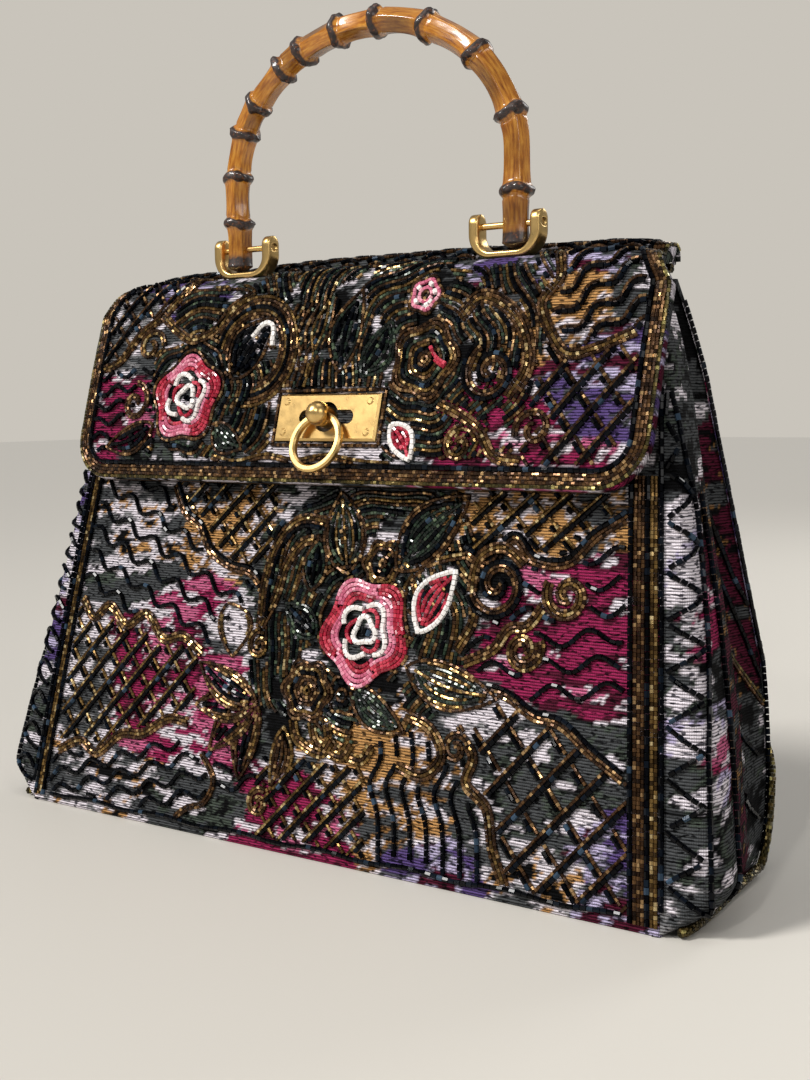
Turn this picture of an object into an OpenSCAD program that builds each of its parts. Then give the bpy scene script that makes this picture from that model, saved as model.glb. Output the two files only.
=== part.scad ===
// Structured flap handbag with beaded cloth panels, a bent bamboo handle and a ring clasp.
// The bag stands on its base. X runs across the front, the front faces -Y and Z is up.

/* [Bag body] */
// Width of the front at the base
base_w = 320; // [260:1:380]
// Width of the front at the rim
rim_w = 274; // [220:1:330]
// Height of the rim
body_h = 224; // [200:1:260]
// Greatest depth of the body
base_depth = 105; // [85:1:140]
// Depth of the body at the rim
rim_depth = 23.4; // [20:0.2:32]
// How far the rim's middle lies behind the base's middle
rim_back = 4.6; // [2:0.1:8]
// Height at which the back is deepest
belly_h = 78; // [60:1:95]
// How far the back curves in under its belly
belly_tuck = 32; // [10:1:38]
// Thickness of the stiffened cloth walls
wall = 3; // [2:0.1:4]
// Thickness of the base board
base_t = 3; // [2:0.1:6]
// Thickness of the lining cloth
lining_t = 1; // [0.8:0.1:1.5]
// Space between the walls and the lining
lining_gap = 0.2; // [0.1:0.05:0.4]
// How far the lining stays below the rim
lining_drop = 2; // [1:0.5:6]

/* [Gussets] */
// Outward bulge of the gusset's front half
gusset_bulge = 22.5; // [10:0.5:26]
// Height over which the gusset swells out from its foot
gusset_foot = 19; // [14:1:30]
// Inward fold of the gusset's back half
gusset_fold = 9.5; // [4:0.5:14]
// How much narrower the back is than the front, on each side
back_narrow = 0.5; // [0:0.5:6]
// Radius of the beaded cord round the gusset's foot
piping_r = 1.6; // [1:0.1:2.5]
// Height to which that cord climbs at the back
piping_top = 46; // [30:1:60]

/* [Flap] */
// Width of the flap
flap_w = 290; // [240:1:340]
// Width of the flap at its hinge
flap_back_w = 266; // [220:1:320]
// How far the flap's lower edge hangs below the rim
flap_hang = 76; // [60:1:95]
// Distance of the flap's lower edge from the middle line of the front
flap_stand = 11.8; // [10:0.2:16]
// Height of the flap's top above the rim, where the handle stands
seat_up = 10.6; // [9.6:0.2:14]
// How far the top's front corner lies in front of the rim
shoulder_out = 2.6; // [1.6:0.1:5]
// Height of the rounded shoulder
shoulder_h = 11.4; // [8:0.2:16]
// Height of the padded ridge above the top
ridge_rise = 4; // [2:0.2:6]
// Thickness of the flap without its lining
flap_t = 3; // [2:0.1:3.2]
// Thickness of the flap's lining
flap_lining_t = 1; // [0.6:0.1:1.2]
// Radius of the flap's lower corners
flap_corner_r = 20; // [12:1:30]
// How far the shoulders droop at their ends
flap_droop = 3; // [0:0.2:4]
// Radius of the cord that the flap turns on
hinge_r = 1.7; // [1.2:0.1:2]
// Space between that cord and the flap
hinge_clear = 0.5; // [0.3:0.1:0.8]

/* [Beadwork] */
// Height of the bead rows
bead_h = 1.6; // [1:0.1:2]
// Width of a border of bead rows
border_w = 6.5; // [4:0.5:9]
// Distance from a border to the edge
border_in = 1.5; // [1:0.1:3]
// Width of a line of beads
bead_line = 1.8; // [1.2:0.1:2.4]
// Spacing of the lattice lines
lattice_pitch = 15; // [10:0.5:20]
// Radius of the flowers
flower_r = 19; // [14:0.5:24]

/* [Clasp] */
// Width of the clasp plate
plate_w = 52; // [44:0.5:60]
// Height of the clasp plate
plate_h = 19.5; // [17:0.5:24]
// Thickness of the clasp plate
plate_t = 2; // [1.4:0.1:2.6]
// Width of its bevelled edge
plate_bevel = 0.9; // [0.4:0.1:1.2]
// Distance of the plate's middle from the flap's lower edge
plate_up = 27; // [22:0.5:40]
// Length of the slot
slot_w = 28; // [24:0.5:32]
// Height of the slot
slot_h = 5.8; // [5:0.1:7]
// Radius of the round opening in the slot's middle
slot_r = 6.2; // [5.4:0.1:7]
// Radius of the ball
ball_r = 4.9; // [4:0.1:5.2]
// Radius of the hub behind the ball
hub_r = 4.4; // [4:0.1:4.8]
// Distance of the ball's middle from the plate's face
ball_out = 5.2; // [4.8:0.1:5.6]
// Radius of the ring's middle line
ring_r = 11.4; // [11:0.1:12.5]
// Thickness of the ring across its band
ring_t = 3; // [2.2:0.1:3.2]
// Distance of the ring's axis from the plate's face
ring_out = 2.2; // [2:0.1:2.4]
// Lean of the hanging ring from the plate, in degrees
ring_lean = 7; // [4:0.5:10]
// Radius of the cross hole in the hub
eye_r = 3.1; // [3:0.05:3.2]
// Radius of a rivet's shank
rivet_r = 0.9; // [0.7:0.05:1.1]
// Distance of the rivets from the plate's ends
rivet_in = 4.5; // [3.5:0.1:6]
// Thickness of the plate behind the flap
back_plate_t = 1; // [0.6:0.1:1.2]
// Thickness of the knob's flange
flange_t = 0.8; // [0.6:0.1:1]
// Radius of the magnetic snap
snap_r = 7; // [5:0.5:8]
// Thickness of the snap's outer half
snap_t = 1.2; // [0.8:0.1:1.4]
// Space left between the halves of the snap at their middles
snap_gap = 0.8; // [0.7:0.05:1.2]

/* [Handle] */
// Distance between the handle's legs
handle_span = 144; // [120:1:170]
// Height of the arch's springing above the pins
leg_h = 28; // [20:1:40]
// Rise of the arch above its springing
arch_rise = 58; // [40:1:80]
// Radius of the bamboo between its knuckles
cane_r = 5.8; // [5:0.1:6.4]
// Radius of the bamboo's knuckles
knuckle_r = 6.9; // [6.2:0.1:7.6]

/* [Shackles] */
// How far the handle's legs stand outside the shackles' middles
leg_shift = 4; // [0:0.5:5]
// Gap between a shackle's legs
shackle_gap = 23; // [20:0.5:28]
// Thickness of a shackle's legs
shackle_leg = 5; // [3.5:0.1:6]
// Thickness of a shackle's foot
shackle_foot = 3.2; // [2.6:0.1:3.6]
// Radius of a shackle's outer corners
shackle_round = 10; // [7:0.5:11]
// Radius of a shackle's inner corners
shackle_fillet = 6; // [3:0.5:6.4]
// Depth of a shackle's strap from front to back
shackle_d = 8; // [6:0.2:9]
// Height of the pin above the shackle's underside
pin_up = 12.8; // [12:0.1:15]
// Height of the legs above the pin
leg_over = 5; // [4.2:0.1:6]
// Distance of the handle behind the body's middle
handle_y = 1; // [0:0.2:2]
// Radius of the cross pins
pin_r = 1.3; // [1:0.05:1.6]
// How far the pins' ends lie inside the legs
pin_recess = 1; // [0.5:0.1:1.5]
// Space round the pins in the bamboo
pin_clear = 0.2; // [0.1:0.05:0.3]
// Space round fixed shanks in their holes
fit_clear = 0.05; // [0.03:0.01:0.1]
// Radius of the shackle's screw
screw_r = 1.4; // [1:0.1:1.8]
// Radius of the screw's head
screw_head_r = 3.4; // [2.6:0.1:4]
// Thickness of the screw's head
screw_head_t = 1.6; // [1:0.1:2]

/* [Hidden] */
$fn = 48;

rim_front_y = rim_back - rim_depth / 2;
rim_back_y = rim_back + rim_depth / 2;
front_foot = base_depth / 2 - bead_h / 2;
levels = 12;
across = 8;
round = 12;
front_lean = atan2(body_h, rim_front_y + front_foot);
seat_z = body_h + seat_up;
seat_out = shoulder_out - rim_front_y;
flap_low_z = body_h - flap_hang;
flap_low_out = flap_stand - front_y(flap_low_z);
shackle_span = handle_span - 2 * leg_shift;
hinge_y = rim_back_y - 0.8;
hinge_z = body_h + 4;
flap_end_z = hinge_z + hinge_r + hinge_clear;
front_run = seat_out - flap_low_out;
flap_len = norm([front_run, seat_z - flap_low_z]);
flap_lean = atan2(seat_z - flap_low_z, -front_run);
inner_t = flap_t + flap_lining_t;
border_step = border_in + border_w;
pin_z = seat_z + pin_up;
cane_end = pin_up - shackle_foot - 0.4;
knuckles = [158, 145, 128, 117, 101, 85, 64, 41, 14];

// Shape of the body
function mix(a, b, t) = a + (b - a) * t;
function half_w(z) = mix(base_w, rim_w, z / body_h) / 2;
function front_y(z) = mix(-front_foot, rim_front_y, z / body_h);
function back_y(z) = z > belly_h
    ? mix(base_depth / 2, rim_back_y, (z - belly_h) / (body_h - belly_h))
    : base_depth / 2 - belly_tuck * (1 - sqrt(1 - pow((belly_h - z) / belly_h, 2)));
function foot_swell(z) = 1 - pow(max(1 - z / gusset_foot, 0), 2);
function deep(z) = back_y(z) - front_y(z);
function fold_in(z) = gusset_fold * (z < body_h / 2 ? z / (body_h / 2) : deep(z) / deep(body_h / 2));
function bulge(t, z) = gusset_bulge * foot_swell(z) * (1 - 0.95 * z / body_h) * sin(180 * pow(t, 0.32))
    - fold_in(z) * sin(180 * pow(max((t - 0.47) / 0.53, 0), 0.75));

// Points round the body at height z, moved inward by off
function on_front_side(u, z, off) = [mix(-1, 1, u) * (half_w(z) - off), front_y(z) + off, z];
function on_right_side(t, z, off) = [mix(half_w(z), half_w(z) - back_narrow, t) + bulge(t, z) - off,
    mix(front_y(z) + off, back_y(z) - off, t), z];
function on_back_side(u, z, off) = [mix(1, -1, u) * (half_w(z) - back_narrow - off), back_y(z) - off, z];
function flip_x(p) = [-p[0], p[1], p[2]];
function side_t(j) = pow(j / round, 1.8);
function loop(z, off) = concat(
    [for (j = [0:across - 1]) on_front_side(j / across, z, off)],
    [for (j = [0:round - 1]) on_right_side(side_t(j), z, off)],
    [for (j = [0:across - 1]) on_back_side(j / across, z, off)],
    [for (j = [0:round - 1]) flip_x(on_right_side(side_t(round - j), z, off))]);
function level(i) = mix(base_t, body_h, pow(1 - i / levels, 1.6));

// A solid between two grids of points, each listed row by row
module slab(outer, inner) {
    r = len(outer);
    c = len(outer[0]);
    n = r * c;
    points = concat([for (row = outer) each row], [for (row = inner) each row]);
    sides = concat(
        [for (i = [0:r - 2], j = [0:c - 2]) each [
            [i * c + j, i * c + j + 1, i * c + c + j + 1],
            [i * c + j, i * c + c + j + 1, i * c + c + j],
            [n + i * c + j, n + i * c + c + j + 1, n + i * c + j + 1],
            [n + i * c + j, n + i * c + c + j, n + i * c + c + j + 1]]],
        [for (i = [0:r - 2]) each [
            [i * c, i * c + c, n + i * c + c],
            [i * c, n + i * c + c, n + i * c],
            [i * c + c - 1, n + i * c + 2 * c - 1, i * c + 2 * c - 1],
            [i * c + c - 1, n + i * c + c - 1, n + i * c + 2 * c - 1]]],
        [for (j = [0:c - 2]) each [
            [j, n + j + 1, j + 1],
            [j, n + j, n + j + 1],
            [n - c + j, n - c + j + 1, 2 * n - c + j + 1],
            [n - c + j, 2 * n - c + j + 1, 2 * n - c + j]]]);
    polyhedron(points, sides);
}

// Middle of a loop of points
function middle(l) = [for (k = [0:len(l) - 1]) 1] * l / len(l);

// A solid of stacked loops, from the top loop down
module stack(loops) {
    r = len(loops);
    c = len(loops[0]);
    low = r * c + 1;
    points = concat([for (l = loops) each l], [middle(loops[0]), middle(loops[r - 1])]);
    sides = [for (i = [0:r - 2], j = [0:c - 1]) each [
        [i * c + j, i * c + (j + 1) % c, i * c + c + (j + 1) % c],
        [i * c + j, i * c + c + (j + 1) % c, i * c + c + j]]];
    caps = [for (j = [0:c - 1]) each [
        [(j + 1) % c, j, r * c],
        [(r - 1) * c + j, (r - 1) * c + (j + 1) % c, low]]];
    polyhedron(points, concat(sides, caps));
}

// A round cord along a list of points that lie along the side
module cord_along(path, r) {
    count = len(path);
    rings = [for (i = [0:count - 1])
        let (
            d = path[min(i + 1, count - 1)] - path[max(i - 1, 0)],
            rise = [0, -d[2], d[1]] / norm([d[1], d[2]]))
        [for (k = [0:7]) path[i] + r * (cos(45 * k) * [1, 0, 0] + sin(45 * k) * rise)]];
    stack(rings);
}

// Sheet walls of the body
module front_panel() {
    color("dimgray") slab(
        [for (i = [0:levels]) [for (j = [0:across]) on_front_side(j / across, level(i), 0)]],
        [for (i = [0:levels]) [for (j = [0:across]) on_front_side(j / across, level(i), wall)]]);
}

module back_panel() {
    color("dimgray") slab(
        [for (i = [0:levels]) [for (j = [0:across]) on_back_side(j / across, level(i), 0)]],
        [for (i = [0:levels]) [for (j = [0:across]) on_back_side(j / across, level(i), wall)]]);
}

module right_gusset() {
    color("slategray") slab(
        [for (i = [0:levels]) [for (j = [0:round]) on_right_side(side_t(j), level(i), 0)]],
        [for (i = [0:levels]) [for (j = [0:round]) on_right_side(side_t(j), level(i), wall)]]);
}

module left_gusset() {
    color("slategray") slab(
        [for (i = [0:levels]) [for (j = [0:round]) flip_x(on_right_side(side_t(round - j), level(i), 0))]],
        [for (i = [0:levels])
            [for (j = [0:round]) flip_x(on_right_side(side_t(round - j), level(i), wall))]]);
}

module base_panel() {
    color("dimgray") stack([loop(base_t, 0), loop(0, 0)]);
}

// Loops of the lining from its foot to its top, at one distance from the walls
function pocket(off, low_z) = [for (i = [levels:-1:0])
    loop(i == levels ? low_z : min(level(i), body_h - lining_drop), off)];

module lining() {
    off = wall + lining_gap;
    color("saddlebrown")
        stack(concat(pocket(off + lining_t, base_t + lining_t), turned(pocket(off, base_t))));
}

// Middle line of the cord: under the swelling foot, then up the gusset's back edge
cord_gap = piping_r + 0.2;
cord_z = 2 * piping_r + 0.2;
function under_foot(t) = let (
    lean = (bulge(t, cord_z + 0.7) - bulge(t, cord_z - 0.7)) / 1.4,
    out = cord_gap / sqrt(1 + lean * lean))
    on_right_side(t, cord_z, 0) + [out, 0, -out * lean];
function up_back(z) = on_right_side(1, z, 0) + [cord_gap, 0, 0];

module foot_cord() {
    cord_along(concat(
        [for (k = [1:12]) under_foot(pow(k / 12, 1.5))],
        [for (k = [1:8]) up_back(mix(cord_z, piping_top, k / 8))]), piping_r);
}

module right_base_piping() {
    color("darkolivegreen") foot_cord();
}

module left_base_piping() {
    color("darkolivegreen") mirror([1, 0, 0]) foot_cord();
}

module hinge_piping() {
    length = flap_back_w - 6;
    color("darkolivegreen") union() {
        translate([-length / 2, hinge_y, hinge_z]) rotate([0, 90, 0]) cylinder(r = hinge_r, h = length);
        translate([-length / 2, hinge_y - 0.6, body_h]) cube([length, 1.2, hinge_z - body_h]);
    }
}

// Places things on the front's slope: x across, y up the slope, z outward
module on_front() {
    translate([0, -front_foot, 0]) rotate([front_lean, 0, 0]) children();
}

// Places things on the flap's front slope, measured from its lower edge
module on_flap() {
    translate([0, -flap_low_out, flap_low_z]) rotate([flap_lean, 0, 0]) children();
}

function up_front(v) = v * sin(front_lean);
front_top = (flap_low_z + 2) / sin(front_lean);
front_low = (base_t + 1) / sin(front_lean);

module front_border_outline() {
    polygon([
        [half_w(up_front(front_low)) - border_step, front_low],
        [half_w(up_front(front_low)) - border_in, front_low],
        [half_w(up_front(front_top)) - border_in, front_top],
        [half_w(up_front(front_top)) - border_step, front_top]]);
}

module right_front_border() {
    color("darkgoldenrod") on_front() linear_extrude(bead_h) front_border_outline();
}

module left_front_border() {
    color("darkgoldenrod") on_front() linear_extrude(bead_h) mirror([1, 0]) front_border_outline();
}

// Crossing lines of beads inside a box
module lattice(x0, x1, y0, y1) {
    reach = norm([x1 - x0, y1 - y0]);
    count = ceil(reach / lattice_pitch / 2);
    intersection() {
        translate([x0, y0]) square([x1 - x0, y1 - y0]);
        translate([(x0 + x1) / 2, (y0 + y1) / 2]) for (lean = [-52, 52], k = [-count:count])
            rotate(lean) translate([-reach / 2, k * lattice_pitch - bead_line / 2])
                square([reach, bead_line]);
    }
}

// A waving line of beads from left to right
module wave(x0, x1, y0, rise, swing, turns) {
    steps = 8 * turns;
    top = [for (i = [0:steps]) [mix(x0, x1, i / steps),
        y0 + rise * i / steps + swing * sin(360 * turns * i / steps)]];
    polygon(concat(top, [for (i = [steps:-1:0]) top[i] - [0, bead_line]]));
}

// A flower of round petals about a middle
module flower(r) {
    for (k = [0:4]) rotate(72 * k) translate([0.58 * r, 0]) circle(0.4 * r, $fn = 24);
    circle(0.34 * r, $fn = 24);
}

// A scroll of two arcs
module scroll(r) {
    difference() {
        circle(r, $fn = 32);
        circle(r - bead_line, $fn = 32);
        translate([-2 * r, -2 * r]) square([4 * r, 2 * r]);
    }
    translate([r / 2 - bead_line / 2, 0]) difference() {
        circle(r / 2, $fn = 32);
        circle(r / 2 - bead_line, $fn = 32);
        translate([-r, 0]) square([2 * r, r]);
    }
}

front_edge = half_w(flap_low_z) - border_step - 3;
front_high = front_top - 6;

module front_beadwork() {
    color("midnightblue") on_front() linear_extrude(bead_h) {
        lattice(front_edge * 0.42, front_edge, front_low + 4, front_high * 0.46);
        lattice(-front_edge, -front_edge * 0.44, front_high * 0.3, front_high * 0.64);
        for (k = [0:3]) wave(front_edge * 0.5, front_edge, front_high * (0.52 + 0.13 * k), 8, 3, 2);
        for (k = [0:2]) wave(-front_edge, -front_edge * 0.42, front_high * (0.72 + 0.11 * k), 8, 3, 2);
        for (k = [0:1]) wave(-front_edge, -front_edge * 0.42, front_high * (0.04 + 0.12 * k), 8, 3, 2);
        translate([0, front_high * 0.6]) flower(flower_r);
        translate([-flower_r * 1.9, front_high * 0.42]) scroll(flower_r * 0.7);
        translate([flower_r * 1.9, front_high * 0.7]) rotate(180) scroll(flower_r * 0.7);
        translate([flower_r * 0.6, front_high * 0.18]) rotate(70) scroll(flower_r * 0.8);
        translate([-flower_r * 0.8, front_high * 0.2]) flower(flower_r * 0.55);
    }
}

// Places things on the back's slope above its belly: x across, y up the slope, z outward
back_lean = atan2(body_h - belly_h, base_depth / 2 - rim_back_y);
back_high = (body_h - belly_h) / sin(back_lean);
back_edge = rim_w / 2 - back_narrow - border_step;

module on_back() {
    translate([0, base_depth / 2, belly_h]) rotate([0, 0, 180]) rotate([back_lean, 0, 0]) children();
}

module back_beadwork() {
    color("midnightblue") on_back() linear_extrude(bead_h) {
        for (side = [-1, 1], k = [0:1]) translate([side * (back_edge - 3 * k) - bead_line / 2, 14])
            square([bead_line, back_high - 24]);
        lattice(-back_edge + 8, -back_edge * 0.3, lattice_pitch, 3.8 * lattice_pitch);
        translate([0, back_high * 0.58]) lattice(back_edge * 0.42, back_edge - 8, 0, 3 * lattice_pitch);
        for (k = [0:2]) wave(back_edge * 0.2, back_edge - 8, back_high * (0.14 + 0.12 * k), 8, 3, 3);
        for (k = [0:3]) wave(-back_edge + 8, -back_edge * 0.2, back_high * (0.54 + 0.11 * k), 8, 3, 3);
        translate([back_edge * 0.12, back_high * 0.58]) flower(flower_r);
        translate([-flower_r * 0.8, back_high * 0.84]) scroll(flower_r * 0.7);
        translate([flower_r * 0.4, back_high * 0.26]) rotate(160) scroll(flower_r * 0.7);
    }
}

// Outline of the flap's front, in from its edge by off
module flap_outline(off, high) {
    r = flap_corner_r - off;
    w = flap_w / 2 - off;
    union() {
        translate([-w, off + r]) square([2 * w, high - off - r]);
        translate([-w + r, off]) square([2 * w - 2 * r, r + 1]);
        for (side = [-1, 1]) translate([side * (w - r), off + r]) circle(r);
    }
}

flap_front_h = flap_len - 12;

module flap_border() {
    color("darkgoldenrod") on_flap() linear_extrude(bead_h) difference() {
        flap_outline(border_in, flap_front_h * 0.8);
        flap_outline(border_step, flap_front_h * 0.8 + 1);
    }
}

flap_edge = flap_w / 2 - border_step - 3;
flap_clear = plate_w / 2 + flower_r;

module flap_beadwork() {
    color("midnightblue") on_flap() linear_extrude(bead_h) {
        lattice(flap_clear + flower_r, flap_edge, border_step + 4, flap_front_h * 0.56);
        lattice(-flap_edge, -flap_clear - 1.6 * flower_r, flap_front_h * 0.52, flap_front_h * 0.78);
        for (k = [0:2]) wave(flap_clear + 4, flap_edge, flap_front_h * (0.62 + 0.11 * k), 6, 2.5, 2);
        for (k = [0:1]) wave(-flap_edge * 0.62, flap_clear, flap_front_h * (0.88 + 0.09 * k), 0, 2, 6);
        for (k = [0:1])
            wave(-flap_edge, -flap_clear - 1.6 * flower_r, flap_front_h * (0.88 + 0.09 * k), 0, 1.5, 2);
        wave(-flap_clear, flap_clear, border_step + 5, 0, 1.2, 4);
        wave(-flap_edge + 4, -flap_clear - 1.8 * flower_r, flap_front_h * 0.3, 5, 2, 2);
        translate([-flap_clear - flower_r, flap_front_h * 0.42]) flower(flower_r);
        translate([-flap_clear * 0.55, flap_front_h * 0.68]) scroll(flower_r * 0.8);
        translate([flap_clear * 0.5, flap_front_h * 0.72]) rotate(200) scroll(flower_r * 0.7);
    }
}

// Side profile of the flap at depth d below its outer face, from the hinge to the lower edge
function curve(a, b, c, n) = [for (k = [0:n]) let (t = k / n)
    a * (1 - t) * (1 - t) + b * 2 * t * (1 - t) + c * t * t];
function slope_y(z, d) = -flap_low_out - front_run * (z - flap_low_z) / (seat_z - flap_low_z)
    + d / sin(flap_lean);
end_y = hinge_y + hinge_r + hinge_clear;
ridge_z = seat_z + ridge_rise;
ridge_y = end_y - 4.2;
seat_back = handle_y + shackle_d / 2 + 0.6;
seat_front = handle_y - shackle_d / 2 - 0.6;
bend_z = seat_z - shoulder_h;
function back_part(d) = d <= 0
    ? concat(curve([end_y, flap_end_z], [end_y + 0.6, ridge_z], [ridge_y, ridge_z], 4),
        curve([ridge_y - 1, ridge_z - 0.1], [mix(ridge_y, seat_back, 0.5), ridge_z - 0.2],
            [mix(ridge_y, seat_back, 0.8), seat_z + 0.3], 3),
        [[seat_back, seat_z]])
    : concat(curve([end_y - d, flap_end_z], [end_y - d, seat_z - d], [end_y - d - 4, seat_z - d], 8),
        [[seat_back - 0.5, seat_z - d]]);
function shoulder(d) = curve([seat_front, seat_z - d], [slope_y(seat_z - d, d), seat_z - d],
    [slope_y(bend_z, d), bend_z], 4);
front_steps = 5;
corner_steps = 6;
bend_up = (bend_z - flap_low_z) / sin(flap_lean);
function up_flap(i) = i <= front_steps
    ? mix(bend_up, flap_corner_r, i / front_steps)
    : flap_corner_r * (1 - sin(90 * (i - front_steps) / corner_steps));
function in_flap(i) = i <= front_steps
    ? 0
    : flap_corner_r * (1 - cos(90 * (i - front_steps) / corner_steps));
function on_slope(v, d) = [-flap_low_out + v * cos(flap_lean) + d * sin(flap_lean),
    flap_low_z + v * sin(flap_lean) - d * cos(flap_lean)];
function front_part(d) = [for (i = [1:front_steps + corner_steps]) on_slope(up_flap(i), d)];
function profile(d) = concat(back_part(d), shoulder(d), front_part(d));
back_rows = len(back_part(0)) - 1;
top_rows = len(back_part(0)) + len(shoulder(0)) - 1;
function row_half(i) = i <= top_rows
    ? mix(flap_back_w, flap_w, max(0, (i - back_rows) / (top_rows - back_rows))) / 2
    : flap_w / 2 - in_flap(i - top_rows);
function sag(i, d) = flap_droop * (i > top_rows
    ? max(0, 1 - 0.4 * (i - top_rows))
    : d > 0 && i < back_rows ? 0 : min(1, i / 4));
flap_cols = [-1, -0.94, -0.87, -0.8, -0.4, 0, 0.4, 0.8, 0.87, 0.94, 1];
function flap_grid(d) = let (p = profile(d)) [for (i = [0:len(p) - 1])
    [for (u = flap_cols)
        [u * row_half(i), p[i][0], p[i][1] - sag(i, d) * pow(max(0, (abs(u) - 0.8) / 0.2), 2)]]];

module slot_outline(grow) {
    union() {
        circle(slot_r + grow);
        square([slot_w - slot_h, slot_h + 2 * grow], center = true);
        for (side = [-1, 1]) translate([side * (slot_w - slot_h) / 2, 0]) circle(slot_h / 2 + grow);
    }
}

rivet_x = plate_w / 2 - rivet_in;
rivet_y = plate_h / 2 - rivet_in * 0.75;

module at_rivets() {
    for (x = [-1, 1], y = [-1, 1]) translate([x * rivet_x, plate_up + y * rivet_y, 0]) children();
}

module at_shackles() {
    for (side = [-1, 1]) translate([side * shackle_span / 2, handle_y, seat_z]) children();
}

module flap_holes(depth) {
    on_flap() at_rivets() translate([0, 0, -depth])
        cylinder(r = rivet_r + fit_clear, h = 2 * depth, $fn = 24);
    at_shackles() translate([0, 0, -depth]) cylinder(r = screw_r + fit_clear, h = 2 * depth, $fn = 24);
}

module flap() {
    color("dimgray") difference() {
        slab(flap_grid(0), flap_grid(flap_t));
        flap_holes(2 * inner_t);
        on_flap() translate([0, plate_up, -2 * inner_t]) linear_extrude(4 * inner_t) slot_outline(0.4);
    }
}

module flap_lining() {
    color("saddlebrown") difference() {
        slab(flap_grid(flap_t), flap_grid(inner_t));
        flap_holes(2 * inner_t);
        on_flap() translate([0, plate_up, -2 * inner_t]) cylinder(r = hub_r + 0.4, h = 4 * inner_t);
    }
}

// Metalwork of the clasp
module plate_blank(t, bevel) {
    hull() {
        translate([-plate_w / 2, -plate_h / 2, 0]) cube([plate_w, plate_h, t - bevel]);
        translate([-plate_w / 2 + bevel, -plate_h / 2 + bevel, 0])
            cube([plate_w - 2 * bevel, plate_h - 2 * bevel, t]);
    }
}

module clasp_plate() {
    color("gold") on_flap() difference() {
        translate([0, plate_up, 0]) plate_blank(plate_t, plate_bevel);
        translate([0, plate_up, -1]) linear_extrude(plate_t + 2) slot_outline(0);
        at_rivets() translate([0, 0, -1]) cylinder(r = rivet_r + fit_clear, h = plate_t + 2);
    }
}

module clasp_back_plate() {
    color("gold") on_flap() difference() {
        translate([-plate_w / 2, plate_up - plate_h / 2, -inner_t - back_plate_t])
            cube([plate_w, plate_h, back_plate_t]);
        translate([0, plate_up, -inner_t - 2 * back_plate_t])
            cylinder(r = hub_r + fit_clear, h = 3 * back_plate_t);
        at_rivets() translate([0, 0, -inner_t - 2 * back_plate_t])
            cylinder(r = rivet_r + fit_clear, h = 3 * back_plate_t);
    }
}

module clasp_rivets() {
    low = inner_t + back_plate_t;
    color("gold") on_flap() at_rivets() union() {
        translate([0, 0, -low - 0.6]) cylinder(r = rivet_r * 1.8, h = 0.6);
        translate([0, 0, -low - 0.3]) cylinder(r = rivet_r, h = low + plate_t + 0.6);
        translate([0, 0, plate_t]) cylinder(r1 = rivet_r * 1.8, r2 = rivet_r * 1.2, h = 0.6);
    }
}

module clasp_knob() {
    low = inner_t + back_plate_t;
    color("gold") on_flap() translate([0, plate_up, 0]) difference() {
        union() {
            translate([0, 0, -low - flange_t]) cylinder(r = hub_r + 2, h = flange_t);
            translate([0, 0, -low - flange_t / 2])
                cylinder(r = hub_r, h = low + flange_t / 2 + plate_t + ball_out - 1);
            translate([0, 0, plate_t + ball_out]) sphere(ball_r);
        }
        translate([0, 0, plate_t + ring_out]) rotate([0, 90, 0])
            cylinder(r = eye_r, h = 4 * ball_r, center = true);
    }
}

module clasp_ring() {
    h = ring_t / 2;
    c = ring_t / 4;
    color("gold") on_flap() translate([0, plate_up, plate_t + ring_out]) rotate([-ring_lean, 0, 0])
        translate([0, -ring_r, 0]) rotate_extrude($fn = 72) translate([ring_r, 0]) polygon([
            [-h, -h + c], [-h + c, -h], [h - c, -h], [h, -h + c],
            [h, h - c], [h - c, h], [-h + c, h], [-h, h - c]]);
}

snap_low = inner_t + back_plate_t + flange_t;

module snap_cap() {
    color("silver") on_flap() translate([0, plate_up, -snap_low - snap_t]) cylinder(r = snap_r, h = snap_t);
}

// Where the middle line of the clasp meets the front
clasp_y = -flap_low_out + plate_up * cos(flap_lean);
clasp_z = flap_low_z + plate_up * sin(flap_lean);
tilt = front_lean - flap_lean;
clasp_depth = (cos(front_lean) * clasp_z - sin(front_lean) * (clasp_y + front_foot)) / cos(tilt);
socket_z = clasp_z - clasp_depth * cos(flap_lean);
socket_t = clasp_depth - snap_low - snap_t - snap_gap;

module snap_socket() {
    color("silver") on_front() translate([0, socket_z / sin(front_lean), 0])
        cylinder(r = snap_r, h = socket_t);
}

// Handle and its fittings
module cup(wide, high, r) {
    translate([0, r]) square([wide, high - r]);
    translate([r, 0]) square([wide - 2 * r, r + 1]);
    for (x = [r, wide - r]) translate([x, r]) circle(r);
}

module shackle() {
    w = shackle_gap + 2 * shackle_leg;
    top = pin_up + leg_over;
    difference() {
        intersection() {
            rotate([90, 0, 0]) translate([0, 0, -shackle_d]) linear_extrude(2 * shackle_d) difference() {
                translate([-w / 2, 0]) cup(w, top, shackle_round);
                translate([-shackle_gap / 2, shackle_foot]) cup(shackle_gap, top, shackle_fillet);
            }
            rotate([90, 0, 90]) translate([0, 0, -w]) linear_extrude(2 * w) union() {
                translate([-shackle_d / 2, 0]) square([shackle_d, top - shackle_d / 2]);
                translate([0, top - shackle_d / 2]) circle(shackle_d / 2);
            }
        }
        translate([-w, 0, pin_up]) rotate([0, 90, 0]) cylinder(r = pin_r + fit_clear, h = 2 * w);
        translate([0, 0, -1]) cylinder(r = screw_r + fit_clear, h = shackle_foot + 2);
    }
}

module left_shackle() {
    color("gold") translate([-shackle_span / 2, handle_y, seat_z]) shackle();
}

module right_shackle() {
    color("gold") translate([shackle_span / 2, handle_y, seat_z]) shackle();
}

module cross_pin() {
    length = shackle_gap + 2 * shackle_leg - 2 * pin_recess;
    rotate([0, 90, 0]) cylinder(r = pin_r, h = length, center = true);
}

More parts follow.
